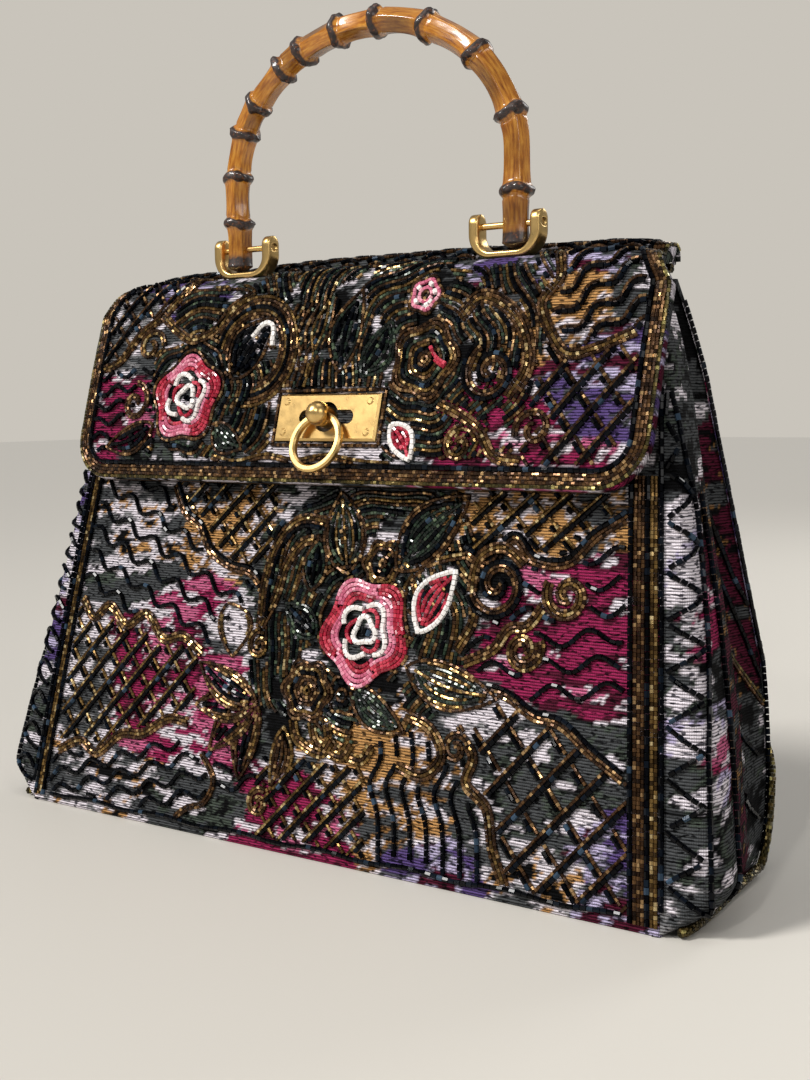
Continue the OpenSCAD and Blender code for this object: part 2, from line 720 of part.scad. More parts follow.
module left_pin() {
    color("goldenrod") translate([-shackle_span / 2, handle_y, pin_z]) cross_pin();
}

module right_pin() {
    color("goldenrod") translate([shackle_span / 2, handle_y, pin_z]) cross_pin();
}

module shackle_screws() {
    color("silver") at_shackles() union() {
        translate([0, 0, -inner_t - screw_head_t]) cylinder(r = screw_head_r, h = screw_head_t);
        translate([0, 0, -inner_t - 0.5]) cylinder(r = screw_r, h = inner_t + 0.5 + shackle_foot - 0.6);
    }
}

function arch(a) = [handle_span / 2 * cos(a), 0, leg_h + arch_rise * sin(a)];
first_up = 11.5;
swell = 2.6;
joints = concat([[-handle_span / 2, 0, first_up], [-handle_span / 2, 0, leg_h + 3]],
    [for (a = knuckles) arch(a)], [[handle_span / 2, 0, first_up + 1]]);
foot_angle = asin(cane_r / cane_end);
foot_steps = 5;
leg_steps = 14;
arch_steps = 80;

// Rounded foot below the pin, then the leg up to the arch, as [height, radius]
function leg_rows() = concat(
    [for (k = [1:foot_steps])
        [-cane_end * cos(foot_angle * k / foot_steps), cane_end * sin(foot_angle * k / foot_steps)]],
    [for (k = [1:leg_steps]) [mix(-cane_end * cos(foot_angle), leg_h, k / (leg_steps + 1)), cane_r]]);
function turned(l) = [for (k = [len(l) - 1:-1:0]) l[k]];
function cane_path() = concat(
    [for (q = leg_rows()) [[-handle_span / 2, 0, q[0]], q[1]]],
    [for (k = [0:arch_steps]) [arch(180 - 180 * k / arch_steps), cane_r]],
    [for (q = turned(leg_rows())) [[handle_span / 2, 0, q[0]], q[1]]]);
function swelling(p) = max([for (j = joints) exp(-pow(norm(p - j) / swell, 2))]);

module cane() {
    path = cane_path();
    count = len(path);
    stack([for (i = [0:count - 1])
        let (
            d = path[min(i + 1, count - 1)][0] - path[max(i - 1, 0)][0],
            t = d / norm(d),
            r = path[i][1] + (knuckle_r - cane_r) * swelling(path[i][0]))
        [for (k = [0:11]) path[i][0] + r * (cos(30 * k) * [-t[2], 0, t[0]] + sin(30 * k) * [0, 1, 0])]]);
}

module handle() {
    color("peru") translate([0, handle_y, pin_z]) difference() {
        cane();
        for (side = [-1, 1]) translate([side * handle_span / 2, 0, 0]) rotate([0, 90, 0])
            cylinder(r = pin_r + pin_clear, h = 4 * cane_r, center = true);
    }
}

front_panel();
back_panel();
left_gusset();
right_gusset();
base_panel();
lining();
left_base_piping();
right_base_piping();
hinge_piping();
left_front_border();
right_front_border();
front_beadwork();
back_beadwork();
snap_socket();
flap();
flap_lining();
flap_border();
flap_beadwork();
clasp_plate();
clasp_back_plate();
clasp_rivets();
clasp_knob();
snap_cap();
left_shackle();
right_shackle();
shackle_screws();
left_pin();
right_pin();
handle();
clasp_ring();
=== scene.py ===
import math
import bpy
import numpy as np
from mathutils import Matrix


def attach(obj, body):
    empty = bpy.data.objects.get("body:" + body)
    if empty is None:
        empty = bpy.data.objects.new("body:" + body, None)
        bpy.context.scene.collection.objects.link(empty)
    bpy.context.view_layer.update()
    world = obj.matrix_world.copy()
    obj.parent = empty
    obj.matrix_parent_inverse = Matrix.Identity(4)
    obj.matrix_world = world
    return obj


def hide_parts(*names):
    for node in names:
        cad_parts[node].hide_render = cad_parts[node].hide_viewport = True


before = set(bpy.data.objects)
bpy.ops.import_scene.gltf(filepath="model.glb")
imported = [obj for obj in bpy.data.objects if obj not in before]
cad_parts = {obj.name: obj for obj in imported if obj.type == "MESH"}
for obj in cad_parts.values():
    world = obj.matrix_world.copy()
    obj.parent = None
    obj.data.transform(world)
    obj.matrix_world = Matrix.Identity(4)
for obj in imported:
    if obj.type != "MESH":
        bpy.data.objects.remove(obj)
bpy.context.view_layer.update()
scene = bpy.context.scene
MM = 0.001

# Sizes of the bag in millimetres, as in the frame
BODY_H, BASE_W, RIM_W = 224.0, 320.0, 274.0
FRONT_FOOT, RIM_FRONT, RIM_BACK = 51.7, -7.1, 16.3
BACK_DEEP, BELLY_H, BELLY_TUCK = 52.5, 78.0, 32.0
BULGE, FOOT_RISE, FOLD, BACK_NARROW = 22.5, 19.0, 9.5, 0.5
LINING_OFF, LINING_DROP = 4.2, 2.0
FLAP_W, FLAP_BACK_W, FLAP_HANG, FLAP_STAND = 290.0, 266.0, 76.0, 11.8
SEAT_Z, SEAT_OUT, SHOULDER_H, RIDGE_RISE = 234.6, 9.7, 11.4, 4.0
SEAT_FRONT, SEAT_BACK, RIDGE_Y, FLAP_END_Y, FLAP_END_Z = -3.6, 5.6, 13.5, 17.7, 230.2
FLAP_R, FLAP_LINING, DROOP = 20.0, 3.9, 3.0
HINGE_Y, HINGE_Z, HINGE_R, HINGE_HALF = 15.5, 228.0, 1.7, 130
PIPING_R, PIPING_TOP = 1.6, 46.0
PLATE_UP, PLATE_W, PLATE_H = 27.0, 52.0, 19.5
HANDLE_Y, PIN_Z, HANDLE_SPAN, LEG_H, ARCH_RISE = 1.0, 247.4, 144.0, 28.0, 58.0
CANE_R, CANE_END = 5.8, 9.2
SHACKLE_X, SHACKLE_GAP, SHACKLE_LEG = 68.0, 23.0, 5.0
SHACKLE_FOOT, SHACKLE_D, SHACKLE_TOP = 3.2, 8.0, 17.8
FRONT_LEAN = math.atan2(BODY_H, RIM_FRONT + FRONT_FOOT)
SIN_F, COS_F = math.sin(FRONT_LEAN), math.cos(FRONT_LEAN)
V_TOP = BODY_H / SIN_F
BASE_BACK = BACK_DEEP - BELLY_TUCK
FLAP_LOW_Z = BODY_H - FLAP_HANG
FLAP_LOW_OUT = FLAP_STAND + FRONT_FOOT - (RIM_FRONT + FRONT_FOOT) * FLAP_LOW_Z / BODY_H
FLAP_LEAN = math.atan2(SEAT_Z - FLAP_LOW_Z, FLAP_LOW_OUT - SEAT_OUT)

# Soft forms: how far the cloth swells and waves, and how far the gussets' tops draw in
FRONT_PUFF, FLAP_PUFF, BACK_PUFF, RIDGE_PUFF = 1.9, 1.5, 1.0, 1.6
WAVE, SIDE_WAVE, DRAW_IN, DRAW_FROM = 0.5, 0.9, 4.0, 186
# The gusset's swell: how it fades to the top and leans to the front. Its fold: where it starts, its lean
SWELL_FADE, SWELL_LEAN, FOLD_FROM, FOLD_LEAN = 0.95, 0.32, 0.47, 0.75
# The step behind the handle's seat on the flap: its hollow, where it turns to round, and its rise there
HOLLOW_Y, STEP_Y, STEP_UP = 7.4, 8.6, 3.0
# Heights up the front's slope where its beadwork, its swell and its waves end
BEADED_H, SWELL_H, WAVE_H = 156, 150, 152
# Half sizes of the flat place round the clasp plate, and a bead's least distance from a shackle's middle
FLAT_X, FLAT_S, SHACKLE_CLEAR = 34, 18, 19
# How far the flap's lining and the base stay inside the outer edge, and the base above the floor
LINING_IN, BASE_IN, BASE_UP = 1.2, 0.8, 0.2
# The turned edges of a cloth panel: how far they round off, and the painted shade that darkens their
# turned-in side
EDGE_ROUND, EDGE_PAINTED_SHADE = 0.35, 0.6
# Cloth: pitch of its threads, its wall, and the millimetres in one unit of its texture
WEFT, WARP, WALL, UV_MM = 1.1, 0.8, 2.9, 100
WEFT_ROW = 1.2          # height of the rows along which the colours break off
MIRROR = np.array([-1, 1, 1])


def lin(r, g, b):
    """Linear colour from display values of 0 to 255."""
    return tuple(c / 3294.6 if c <= 10.31 else ((c / 255 + 0.055) / 1.055) ** 2.4 for c in (r, g, b))


def grey(v):
    return v, v, v


def sat(v):
    return np.clip(v, 0, 1)


def unit(v):
    return v / np.maximum(np.linalg.norm(v, axis=-1, keepdims=True), 1e-9)


def stack(*parts):
    return np.stack(parts, -1)


def join(*parts):
    return np.concatenate(parts)


def length_along(p):
    return join([0], np.cumsum(np.linalg.norm(np.diff(p, axis=0), axis=1)))


def place(obj, axes, at):
    """Links an object, with its three axes and its place in metres."""
    scene.collection.objects.link(obj)
    obj.matrix_world = Matrix([[*(axis[i] for axis in axes), at[i]] for i in range(3)] + [[0, 0, 0, 1]])


# Camera at the photograph's angle
cam_data = bpy.data.cameras.new("camera")
cam_data.lens = 50
cam_data.sensor_width = 36
camera = bpy.data.objects.new("camera", cam_data)
RIGHT = (0.80274493, 0.59617954, -0.01305913)
UP = (-0.04404045, 0.08111087, 0.99573162)
TOWARDS = (0.59469406, -0.79874338, 0.09136735)
place(camera, (RIGHT, UP, TOWARDS), (0.38506, -0.49378, 0.17988))
scene.camera = camera


# Noise
def lattice_value(i, j, seed):
    n = (i.astype(np.int64) * 374761393 + j.astype(np.int64) * 668265263 + seed * 974634777) & 0xFFFFFFFF
    n = ((n ^ (n >> 13)) * 1274126177) & 0xFFFFFFFF
    return ((n ^ (n >> 16)) & 0xFFFF) / 65535.0


def noise(x, y, seed):
    i, j = np.floor(x), np.floor(y)
    fx, fy = x - i, y - j
    fx, fy = fx * fx * (3 - 2 * fx), fy * fy * (3 - 2 * fy)
    a = lattice_value(i, j, seed) * (1 - fx) + lattice_value(i + 1, j, seed) * fx
    b = lattice_value(i, j + 1, seed) * (1 - fx) + lattice_value(i + 1, j + 1, seed) * fx
    return a * (1 - fy) + b * fy


def rough(x, y, seed):
    fine = 0.5 * noise(2 * x, 2 * y, seed + 7)
    return (noise(x, y, seed) + fine + 0.25 * noise(4 * x, 4 * y, seed + 13)) / 1.75


# Surfaces of the bag: each face takes two arrays and gives points in millimetres
def half_w(z):
    return (BASE_W + (RIM_W - BASE_W) * z / BODY_H) / 2


def front_half(v):
    return half_w(v * SIN_F)


def front_y(z):
    return -FRONT_FOOT + (RIM_FRONT + FRONT_FOOT) * z / BODY_H


def back_y(z):
    curl = sat((BELLY_H - z) / BELLY_H)
    slope = BACK_DEEP + (RIM_BACK - BACK_DEEP) * (z - BELLY_H) / (BODY_H - BELLY_H)
    return np.where(z > BELLY_H, slope, BACK_DEEP - BELLY_TUCK * (1 - np.sqrt(1 - curl ** 2)))


def deep(z):
    return back_y(z) - front_y(z)


def bulge(t, z):
    """How far the gusset swells out, less its fold."""
    t = sat(t)
    foot = 1 - sat(1 - z / FOOT_RISE) ** 2
    out = BULGE * foot * (1 - SWELL_FADE * z / BODY_H) * np.sin(np.pi * t ** SWELL_LEAN)
    middle = BODY_H / 2
    fold = FOLD * np.where(z < middle, z / middle, deep(z) / deep(middle))
    return out - fold * np.sin(np.pi * sat((t - FOLD_FROM) / (1 - FOLD_FROM)) ** FOLD_LEAN)


def front_face(x, v):
    """The front, where v is the distance up its slope."""
    z = v * SIN_F
    edge = sat(np.abs(x) / half_w(z))
    puff = FRONT_PUFF * (1 - edge ** 5) * np.sin(np.pi * sat(v / SWELL_H)) ** 0.8
    puff = puff + WAVE * (1 - edge ** 5) * (noise(x / 26, v / 22, 3) - 0.5) * sat((WAVE_H - v) / 12)
    puff = puff * sat(v / 6)
    return stack(x, -FRONT_FOOT + v * COS_F - puff * SIN_F, z + puff * COS_F)


def draw_in(z):
    """How far the gusset's top draws in under the flap, at the back."""
    return DRAW_IN * sat((z - DRAW_FROM) / (BODY_H - DRAW_FROM)) ** 1.5


def side_point(t, z, off=0.0):
    """A point of the right gusset, a share t of the way from front to back, moved in by off."""
    x = half_w(z) - BACK_NARROW * t - draw_in(z) * sat(t / 0.35) + bulge(t, z) - off
    return stack(x, front_y(z) + off + (deep(z) - 2 * off) * t, z + 0 * t)


SIDE_Z = np.linspace(0, BODY_H, 113)
SHARES = np.linspace(0, 1, 161)


def side_table():
    """The gusset's width at each height, and the t at equal steps along it."""
    t = np.linspace(0, 1, 401) ** 3
    runs = [length_along(side_point(t, np.full_like(t, z))) for z in SIDE_Z]
    wide = np.array([run[-1] for run in runs])
    return wide, np.array([np.interp(SHARES * run[-1], run, t) for run in runs])


SIDE_WIDE, SIDE_T = side_table()


def side_wide(z):
    return np.interp(z, SIDE_Z, SIDE_WIDE)


def right_face(a, z):
    """The right gusset, where a is the distance along the cloth from its front edge."""
    a, z = np.broadcast_arrays(np.asarray(a, dtype=float), np.asarray(z, dtype=float))
    share = sat(a / side_wide(z))
    i, j = sat(z / BODY_H) * (len(SIDE_Z) - 1), share * (len(SHARES) - 1)
    i0, j0 = np.minimum(i.astype(int), len(SIDE_Z) - 2), np.minimum(j.astype(int), len(SHARES) - 2)
    fi, fj = i - i0, j - j0
    low = SIDE_T[i0, j0] * (1 - fj) + SIDE_T[i0, j0 + 1] * fj
    high = SIDE_T[i0 + 1, j0] * (1 - fj) + SIDE_T[i0 + 1, j0 + 1] * fj
    p = side_point(low * (1 - fi) + high * fi, z)
    p[..., 0] += SIDE_WAVE * (noise(a / 21, z / 29, 5) - 0.5) * np.sin(np.pi * share) * sat(z / 20)
    return p


def left_face(a, z):
    return right_face(a, z) * MIRROR


def back_profile():
    """Side profile of the back from its foot to its rim, as (y, z)."""
    turn = np.linspace(np.pi / 2, 0, 60)
    belly = stack(BACK_DEEP - BELLY_TUCK * (1 - np.cos(turn)), BELLY_H * (1 - np.sin(turn)))
    slope = np.linspace([BACK_DEEP, BELLY_H], [RIM_BACK, BODY_H], 60)[1:]
    p = join(belly, slope)
    return length_along(p), p


def on_profile(s, run, profile, e):
    """The place at a distance along a side profile, and the direction there, as y, z, dy, dz."""
    def at(d, i):
        return np.interp(d, run, profile[:, i])
    near = np.clip(s, e, run[-1] - e)
    ty, tz = (at(near + e, i) - at(near - e, i) for i in (0, 1))
    size = np.sqrt(ty * ty + tz * tz)
    return at(s, 0), at(s, 1), ty / size, tz / size


BACK_S, BACK_P = back_profile()
BACK_LEN = BACK_S[-1]


def back_half(s):
    z = np.interp(s, BACK_S, BACK_P[:, 1])
    return half_w(z) - BACK_NARROW - draw_in(z)


def back_face(x, s):
    """The back, where s is the distance along the cloth from its foot."""
    y, z, ty, tz = on_profile(s, BACK_S, BACK_P, 0.5)
    edge = sat(np.abs(x) / back_half(s))
    puff = BACK_PUFF * (1 - edge ** 4) * sat((s - 60) / 40) * sat((BACK_LEN - s) / 40)
    return stack(x, y + tz * puff, z - ty * puff)


def bend(a, b, c, n):
    t = np.linspace(0, 1, n)[:, None]
    return np.array(a) * (1 - t) ** 2 + 2 * t * (1 - t) * np.array(b) + t * t * np.array(c)


def flap_profile(depth):
    """Side profile of the flap from its lower edge to its hinge, as (y, z), in from its outside by depth."""
    c, s = math.cos(FLAP_LEAN), math.sin(FLAP_LEAN)
    low = np.array([-FLAP_LOW_OUT + depth * s, FLAP_LOW_Z - depth * c])
    top, bend_z = SEAT_Z - depth, SEAT_Z - SHOULDER_H
    shoulder, corner = ([low[0] + (z - low[1]) * c / s, z] for z in (bend_z, top))
    parts = [np.linspace(low, shoulder, 40)[:-1], bend(shoulder, corner, [SEAT_FRONT, top], 24)[:-1]]
    if depth <= 0:
        ridge = top + RIDGE_RISE
        parts.append(np.linspace([SEAT_FRONT, top], [SEAT_BACK, top], 10)[:-1])
        parts.append(bend([SEAT_BACK, top], [HOLLOW_Y, top + 0.2], [STEP_Y, top + STEP_UP], 6)[:-1])
        parts.append(bend([STEP_Y, top + STEP_UP], [STEP_Y + 1, ridge], [RIDGE_Y, ridge], 8)[:-1])
        parts.append(bend([RIDGE_Y, ridge], [FLAP_END_Y + 0.6, ridge], [FLAP_END_Y, FLAP_END_Z], 16))
    else:
        end = FLAP_END_Y - depth
        parts.append(np.linspace([SEAT_FRONT, top], [end - 4, top], 10)[:-1])
        parts.append(bend([end - 4, top], [end, top], [end, FLAP_END_Z], 12))
    p = np.concatenate(parts)
    return length_along(p), p


FLAP_S, FLAP_P = flap_profile(0)
INNER_S, INNER_P = flap_profile(FLAP_LINING)
FLAP_LEN, INNER_LEN = FLAP_S[-1], INNER_S[-1]
BEND_S = (SEAT_Z - SHOULDER_H - FLAP_LOW_Z) / math.sin(FLAP_LEAN)


def nearest_s(y, z):
    return float(FLAP_S[np.argmin(np.hypot(FLAP_P[:, 0] - y, FLAP_P[:, 1] - z))])


SEAT_S, SEAT_END_S = nearest_s(SEAT_FRONT, SEAT_Z), nearest_s(SEAT_BACK, SEAT_Z)
RIDGE_S = nearest_s(RIDGE_Y, SEAT_Z + RIDGE_RISE)


def flap_half(s):
    """Half width of the flap at a distance s from its lower edge."""
    k = sat((FLAP_R - s) / FLAP_R)
    corner = FLAP_R * (1 - np.sqrt(np.maximum(1 - k * k, 0)))
    narrow = np.interp(s, [BEND_S, SEAT_S, SEAT_END_S], [0, 0.8, 1]) * (FLAP_W - FLAP_BACK_W) / 2
    return FLAP_W / 2 - corner - narrow


def flap_share(x, s):
    return sat(np.abs(x) / np.maximum(flap_half(s), 1))


def flap_droop(x, s):
    fade = sat((s - BEND_S + 30) / 30) * sat((FLAP_LEN - s) / (FLAP_LEN - RIDGE_S))
    return DROOP * sat((flap_share(x, s) - 0.8) / 0.2) ** 2 * fade


def flap_face(x, s):
    """The flap, where s is the distance along the cloth from its lower edge."""
    y, z, ty, tz = on_profile(s, FLAP_S, FLAP_P, 0.6)
    u = flap_share(x, s)
    near_plate = np.maximum(np.abs(x) / FLAT_X, np.abs(s - PLATE_UP) / FLAT_S)
    free = sat((near_plate - 1) / 1.2)
    puff = FLAP_PUFF * (1 - u ** 6) * np.sin(np.pi * sat(s / (BEND_S + 6))) * free
    puff = puff + WAVE * (noise(x / 24, s / 20, 11) - 0.5) * free * (1 - u ** 8) * sat((BEND_S - s) / 10)
    ridge = np.exp(-((s - RIDGE_S) / 7) ** 2)
    puff = puff + ridge * (RIDGE_PUFF * np.exp(-(x / 62) ** 4) + WAVE * (noise(x / 17, s * 0, 17) - 0.5))
    return stack(x, y - tz * puff, z + ty * puff - flap_droop(x, s))


def outer_s(s):
    """The place on the flap's outside above a place on its lining."""
    return np.interp(s, [0, BEND_S, INNER_LEN], [0, BEND_S, FLAP_LEN])


def inner_half(s):
    return flap_half(outer_s(s)) - LINING_IN


def inner_face(x, s):
    y, z = (np.interp(s, INNER_S, INNER_P[:, i]) for i in (0, 1))
    over = sat((s - INNER_LEN + 16) / 6)
    return stack(x, y, z - flap_droop(x, np.minimum(outer_s(s), SEAT_END_S)) * (1 - over))


def base_face(x, y):
    lift = WAVE * (noise(x / 40, y / 30, 61) - 0.3) * sat((150 - np.abs(x)) / 20)
    return stack(x, y, np.maximum(lift, 0) + BASE_UP)


def base_half(y):
    return np.full_like(y, BASE_W / 2 - BASE_IN)


def normals(face, a, b, out, e=0.4):
    du = face(a + e, b) - face(a - e, b)
    dv = face(a, b + e) - face(a, b - e)
    return unit(np.cross(du, dv) * out)


# Mesh making
def mesh_object(name, points, faces, smooth=True):
    points = np.asarray(points, dtype=np.float32) * MM
    faces = np.asarray(faces, dtype=np.int32)
    count, sides = faces.shape
    mesh = bpy.data.meshes.new(name)
    mesh.vertices.add(len(points))
    mesh.vertices.foreach_set("co", points.ravel())
    mesh.loops.add(faces.size)
    mesh.loops.foreach_set("vertex_index", faces.ravel())
    mesh.polygons.add(count)
    mesh.polygons.foreach_set("loop_start", np.arange(0, faces.size, sides, dtype=np.int32))
    mesh.polygons.foreach_set("loop_total", np.full(count, sides, dtype=np.int32))
    mesh.polygons.foreach_set("use_smooth", np.full(count, smooth))
    mesh.update(calc_edges=True)
    mesh.validate()
    obj = bpy.data.objects.new(name, mesh)
    scene.collection.objects.link(obj)
    return obj


def grid_faces(rows, cols, wrap=False):
    i, j = np.meshgrid(np.arange(rows - 1), np.arange(cols if wrap else cols - 1), indexing="ij")
    a = (i * cols + j).ravel()
    b = (i * cols + (j + 1) % cols).ravel()
    return stack(a, b, b + cols, a + cols)


def tube(name, points, colours, uv):
    """A mesh on a grid of points that closes on itself along each row."""
    rows, cols = points.shape[:2]
    obj = mesh_object(name, points.reshape(-1, 3), grid_faces(rows, cols, True))
    paint(obj, colours, uv)
    return obj


def paint(obj, colours, uv):
    layer = obj.data.color_attributes.new("Col", "FLOAT_COLOR", "POINT")
    rgba = np.concatenate([colours, np.ones((len(colours), 1))], 1)
    layer.data.foreach_set("color", rgba.astype(np.float32).ravel())
    loops = np.empty(len(obj.data.loops), dtype=np.int32)
    obj.data.loops.foreach_get("vertex_index", loops)
    obj.data.uv_layers.new(name="UVMap").data.foreach_set("uv", uv[loops].astype(np.float32).ravel())


def skin(name, face, a, b, out, thick, colour):
    """A cloth panel on a grid of (a, b), with its edges turned in."""
    rows, cols = a.shape
    p = face(a, b)
    n = normals(face, a, b, out)
    inner = p - n * (np.ones(rows) * thick)[:, None, None]
    rounded = p.copy()
    for edge in (np.s_[0, :], np.s_[-1, :], np.s_[:, 0], np.s_[:, -1]):
        rounded[edge] = p[edge] - n[edge] * EDGE_ROUND
    rim = join(np.arange(cols), np.arange(1, rows) * cols + cols - 1,
               (rows - 1) * cols + np.arange(cols - 2, -1, -1), np.arange(rows - 2, 0, -1) * cols)
    points = join(rounded.reshape(-1, 3), inner.reshape(-1, 3)[rim])
    k = np.arange(len(rim))
    k2 = (k + 1) % len(rim)
    base = rows * cols
    faces = join(grid_faces(rows, cols), stack(rim[k2], rim[k], base + k, base + k2))
    obj = mesh_object(name, points, faces[:, ::-1] if out < 0 else faces)
    flat_a, flat_b = a.ravel(), b.ravel()
    colours = colour(flat_a, flat_b)
    uv = stack(flat_a, flat_b) / UV_MM
    # The turned-in rim takes the cloth's colours darkened as painted shade
    paint(obj, join(colours, colours[rim] * EDGE_PAINTED_SHADE), join(uv, uv[rim] + 0.02))
    return obj


# Cloth colours, and palettes of them with their shares
CHARCOAL, BLACK, PALE, LILAC = lin(70, 72, 74), lin(9, 9, 11), lin(222, 214, 222), lin(182, 172, 204)
MAGENTA, WINE, PINK, PURPLE = lin(142, 36, 78), lin(78, 22, 42), lin(190, 96, 132), lin(88, 70, 122)
OCHRE, TAN, GREY, MOSS = lin(182, 136, 84), lin(136, 98, 56), lin(128, 127, 129), lin(68, 76, 68)
DARK = [(BLACK, 0.4), (CHARCOAL, 0.36), (MOSS, 0.12), (PALE, 0.12)]
STONE = [(CHARCOAL, 0.42), (GREY, 0.12), (PALE, 0.3), (OCHRE, 0.1), (BLACK, 0.06)]
SAND = [(OCHRE, 0.42), (PALE, 0.24), (TAN, 0.16), (CHARCOAL, 0.18)]
BERRY = [(MAGENTA, 0.38), (WINE, 0.3), (PALE, 0.19), (PINK, 0.13)]
BLUSH = [(PINK, 0.36), (MAGENTA, 0.36), (PALE, 0.28)]
PLUM = [(PURPLE, 0.46), (CHARCOAL, 0.2), (LILAC, 0.24), (WINE, 0.1)]
MIST = [(PALE, 0.5), (GREY, 0.16), (CHARCOAL, 0.34)]
SLATE = [(CHARCOAL, 0.5), (MOSS, 0.14), (BLACK, 0.12), (PALE, 0.24)]
CHALK = [(PALE, 0.62), (LILAC, 0.2), (CHARCOAL, 0.18)]
# Wine and black: magenta cloth darkened with painted shade, for the right gusset's back half behind its fold
WINE_WITH_PAINTED_SHADE = [(WINE, 0.5), (BLACK, 0.26), (TAN, 0.08), (CHARCOAL, 0.16)]


def cloth(zones, seed):
    """Gives a painter of blotches of colour in zones, ragged along the weft."""
    def colour(x, v):
        row = np.floor(v / WEFT_ROW)
        drift = (lattice_value(row, row * 0, seed) - 0.5) * 6
        xs = x + (drift + (lattice_value(np.floor(row / 3), row * 0, seed + 5) - 0.5) * 5)
        vs = v + 3 * (noise(x / 9, v / 9, seed + 1) - 0.5)
        blur = 0.9 * (rough(xs / 20, vs / 10, seed + 2) - 0.5)
        best = np.full(x.shape, -1e9)
        pick = np.zeros(x.shape, dtype=int)
        for k, (cx, cv, rx, rv, _) in enumerate(zones):
            w = 1 - ((xs - cx) / rx) ** 2 - ((vs - cv) / rv) ** 2 + blur * (1 if k % 2 else -1)
            pick = np.where(w > best, k, pick)
            best = np.maximum(best, w)
        colours = np.zeros(x.shape + (3,))
        for k, zone in enumerate(zones):
            here = pick == k
            n = rough(xs[here] / 15, vs[here] / 6.5, seed + 20 + k)
            n = np.clip((n - 0.5) * 2.3 + 0.5, 0, 0.9999)
            total = 0.0
            col = np.zeros(n.shape + (3,))
            for shade, share in zone[4]:
                col[(n >= total) & (n < total + share + 1e-6)] = shade
                total += share
            colours[here] = col
        thread = 0.84 + 0.32 * lattice_value(np.floor(x / 1.6), row, seed + 3)
        return colours * thread[..., None]
    return colour


def plain(x, v):
    return np.ones(x.shape + (3,)) * 0.5


# Zones of the cloth's colours: middle, half sizes and palette
FRONT_ZONES = [
    (-118, 128, 34, 22, STONE), (-112, 106, 30, 12, SLATE), (-76, 100, 24, 9, BLUSH),
    (-56, 132, 26, 19, SAND), (-30, 112, 14, 22, SLATE), (-92, 64, 27, 20, BERRY),
    (-134, 56, 17, 28, MIST), (-82, 36, 26, 8, BLUSH), (-122, 18, 40, 13, STONE), (-58, 14, 26, 11, SLATE),
    (-48, 60, 15, 16, BLUSH), (-44, 88, 12, 12, MIST),
    (4, 92, 34, 40, DARK), (10, 136, 12, 12, MIST), (0, 14, 28, 15, BERRY), (40, 36, 33, 24, SAND),
    (70, 8, 22, 8, PLUM), (58, 100, 16, 18, MIST), (98, 136, 36, 14, SAND), (76, 120, 15, 16, DARK),
    (118, 100, 34, 28, BERRY), (84, 66, 22, 10, MIST), (104, 44, 38, 26, SLATE), (140, 22, 16, 15, PLUM),
    (104, 14, 26, 10, STONE), (0, 190, 150, 38, SLATE),
]
FLAP_ZONES = [
    (-122, 72, 30, 22, MIST), (-96, 84, 26, 12, PLUM), (-126, 26, 32, 18, BERRY), (-60, 30, 40, 28, DARK),
    (-46, 60, 26, 24, DARK), (-74, 8, 44, 9, SLATE), (-8, 62, 26, 26, DARK), (14, 74, 22, 14, MIST),
    (16, 48, 18, 14, MIST), (0, 12, 40, 12, MIST), (46, 52, 26, 24, DARK), (40, 18, 14, 12, MIST),
    (76, 20, 30, 18, BERRY), (104, 68, 28, 16, SAND), (92, 86, 30, 9, PLUM), (128, 40, 22, 24, PLUM),
    (118, 10, 26, 11, BERRY), (134, 72, 16, 14, SLATE), (0, 108, 150, 16, SLATE), (0, 124, 150, 12, DARK),
]
RIGHT_ZONES = [
    (9, 136, 9, 10, CHALK), (9, 116, 9, 8, CHALK), (14, 98, 6, 7, BLUSH), (4, 98, 6, 9, SLATE),
    (9, 82, 11, 8, DARK), (9, 67, 11, 6, CHALK), (9, 50, 11, 9, SLATE), (9, 30, 12, 12, SLATE),
    (9, 12, 11, 7, MIST), (9, 166, 12, 20, DARK), (26, 104, 8, 10, BERRY), (27, 84, 9, 8, DARK),
    (27, 69, 10, 6, CHALK), (28, 58, 11, 5, BERRY), (27, 48, 10, 5, CHALK), (28, 26, 12, 17, SLATE),
    # The back half behind the fold: its wine and black zones are partly painted shade
    (60, 60, 26, 50, WINE_WITH_PAINTED_SHADE), (92, 104, 22, 40, WINE_WITH_PAINTED_SHADE), (92, 36, 18, 28, DARK), (58, 140, 26, 34, WINE_WITH_PAINTED_SHADE),
    (34, 190, 30, 30, DARK), (9, 200, 14, 20, SLATE),
]
LEFT_ZONES = [
    (10, 150, 14, 26, PLUM), (10, 110, 14, 20, CHALK), (10, 76, 14, 18, PLUM), (12, 40, 16, 22, SLATE),
    (30, 90, 14, 40, MIST), (32, 36, 16, 26, PLUM), (66, 60, 26, 44, BERRY), (92, 40, 20, 34, BERRY),
    (88, 110, 24, 40, SLATE), (50, 150, 26, 30, PLUM), (20, 200, 30, 24, DARK),
]
BACK_ZONES = [
    (-110, 160, 50, 44, STONE), (-40, 182, 46, 36, SAND), (60, 172, 52, 40, BERRY), (120, 132, 40, 40, PLUM),
    (-100, 82, 50, 40, BERRY), (-20, 112, 50, 36, SLATE), (60, 82, 44, 36, STONE), (120, 50, 40, 34, SLATE),
    (-60, 32, 60, 24, PLUM), (40, 26, 50, 22, BLUSH), (0, 226, 150, 16, SLATE),
]


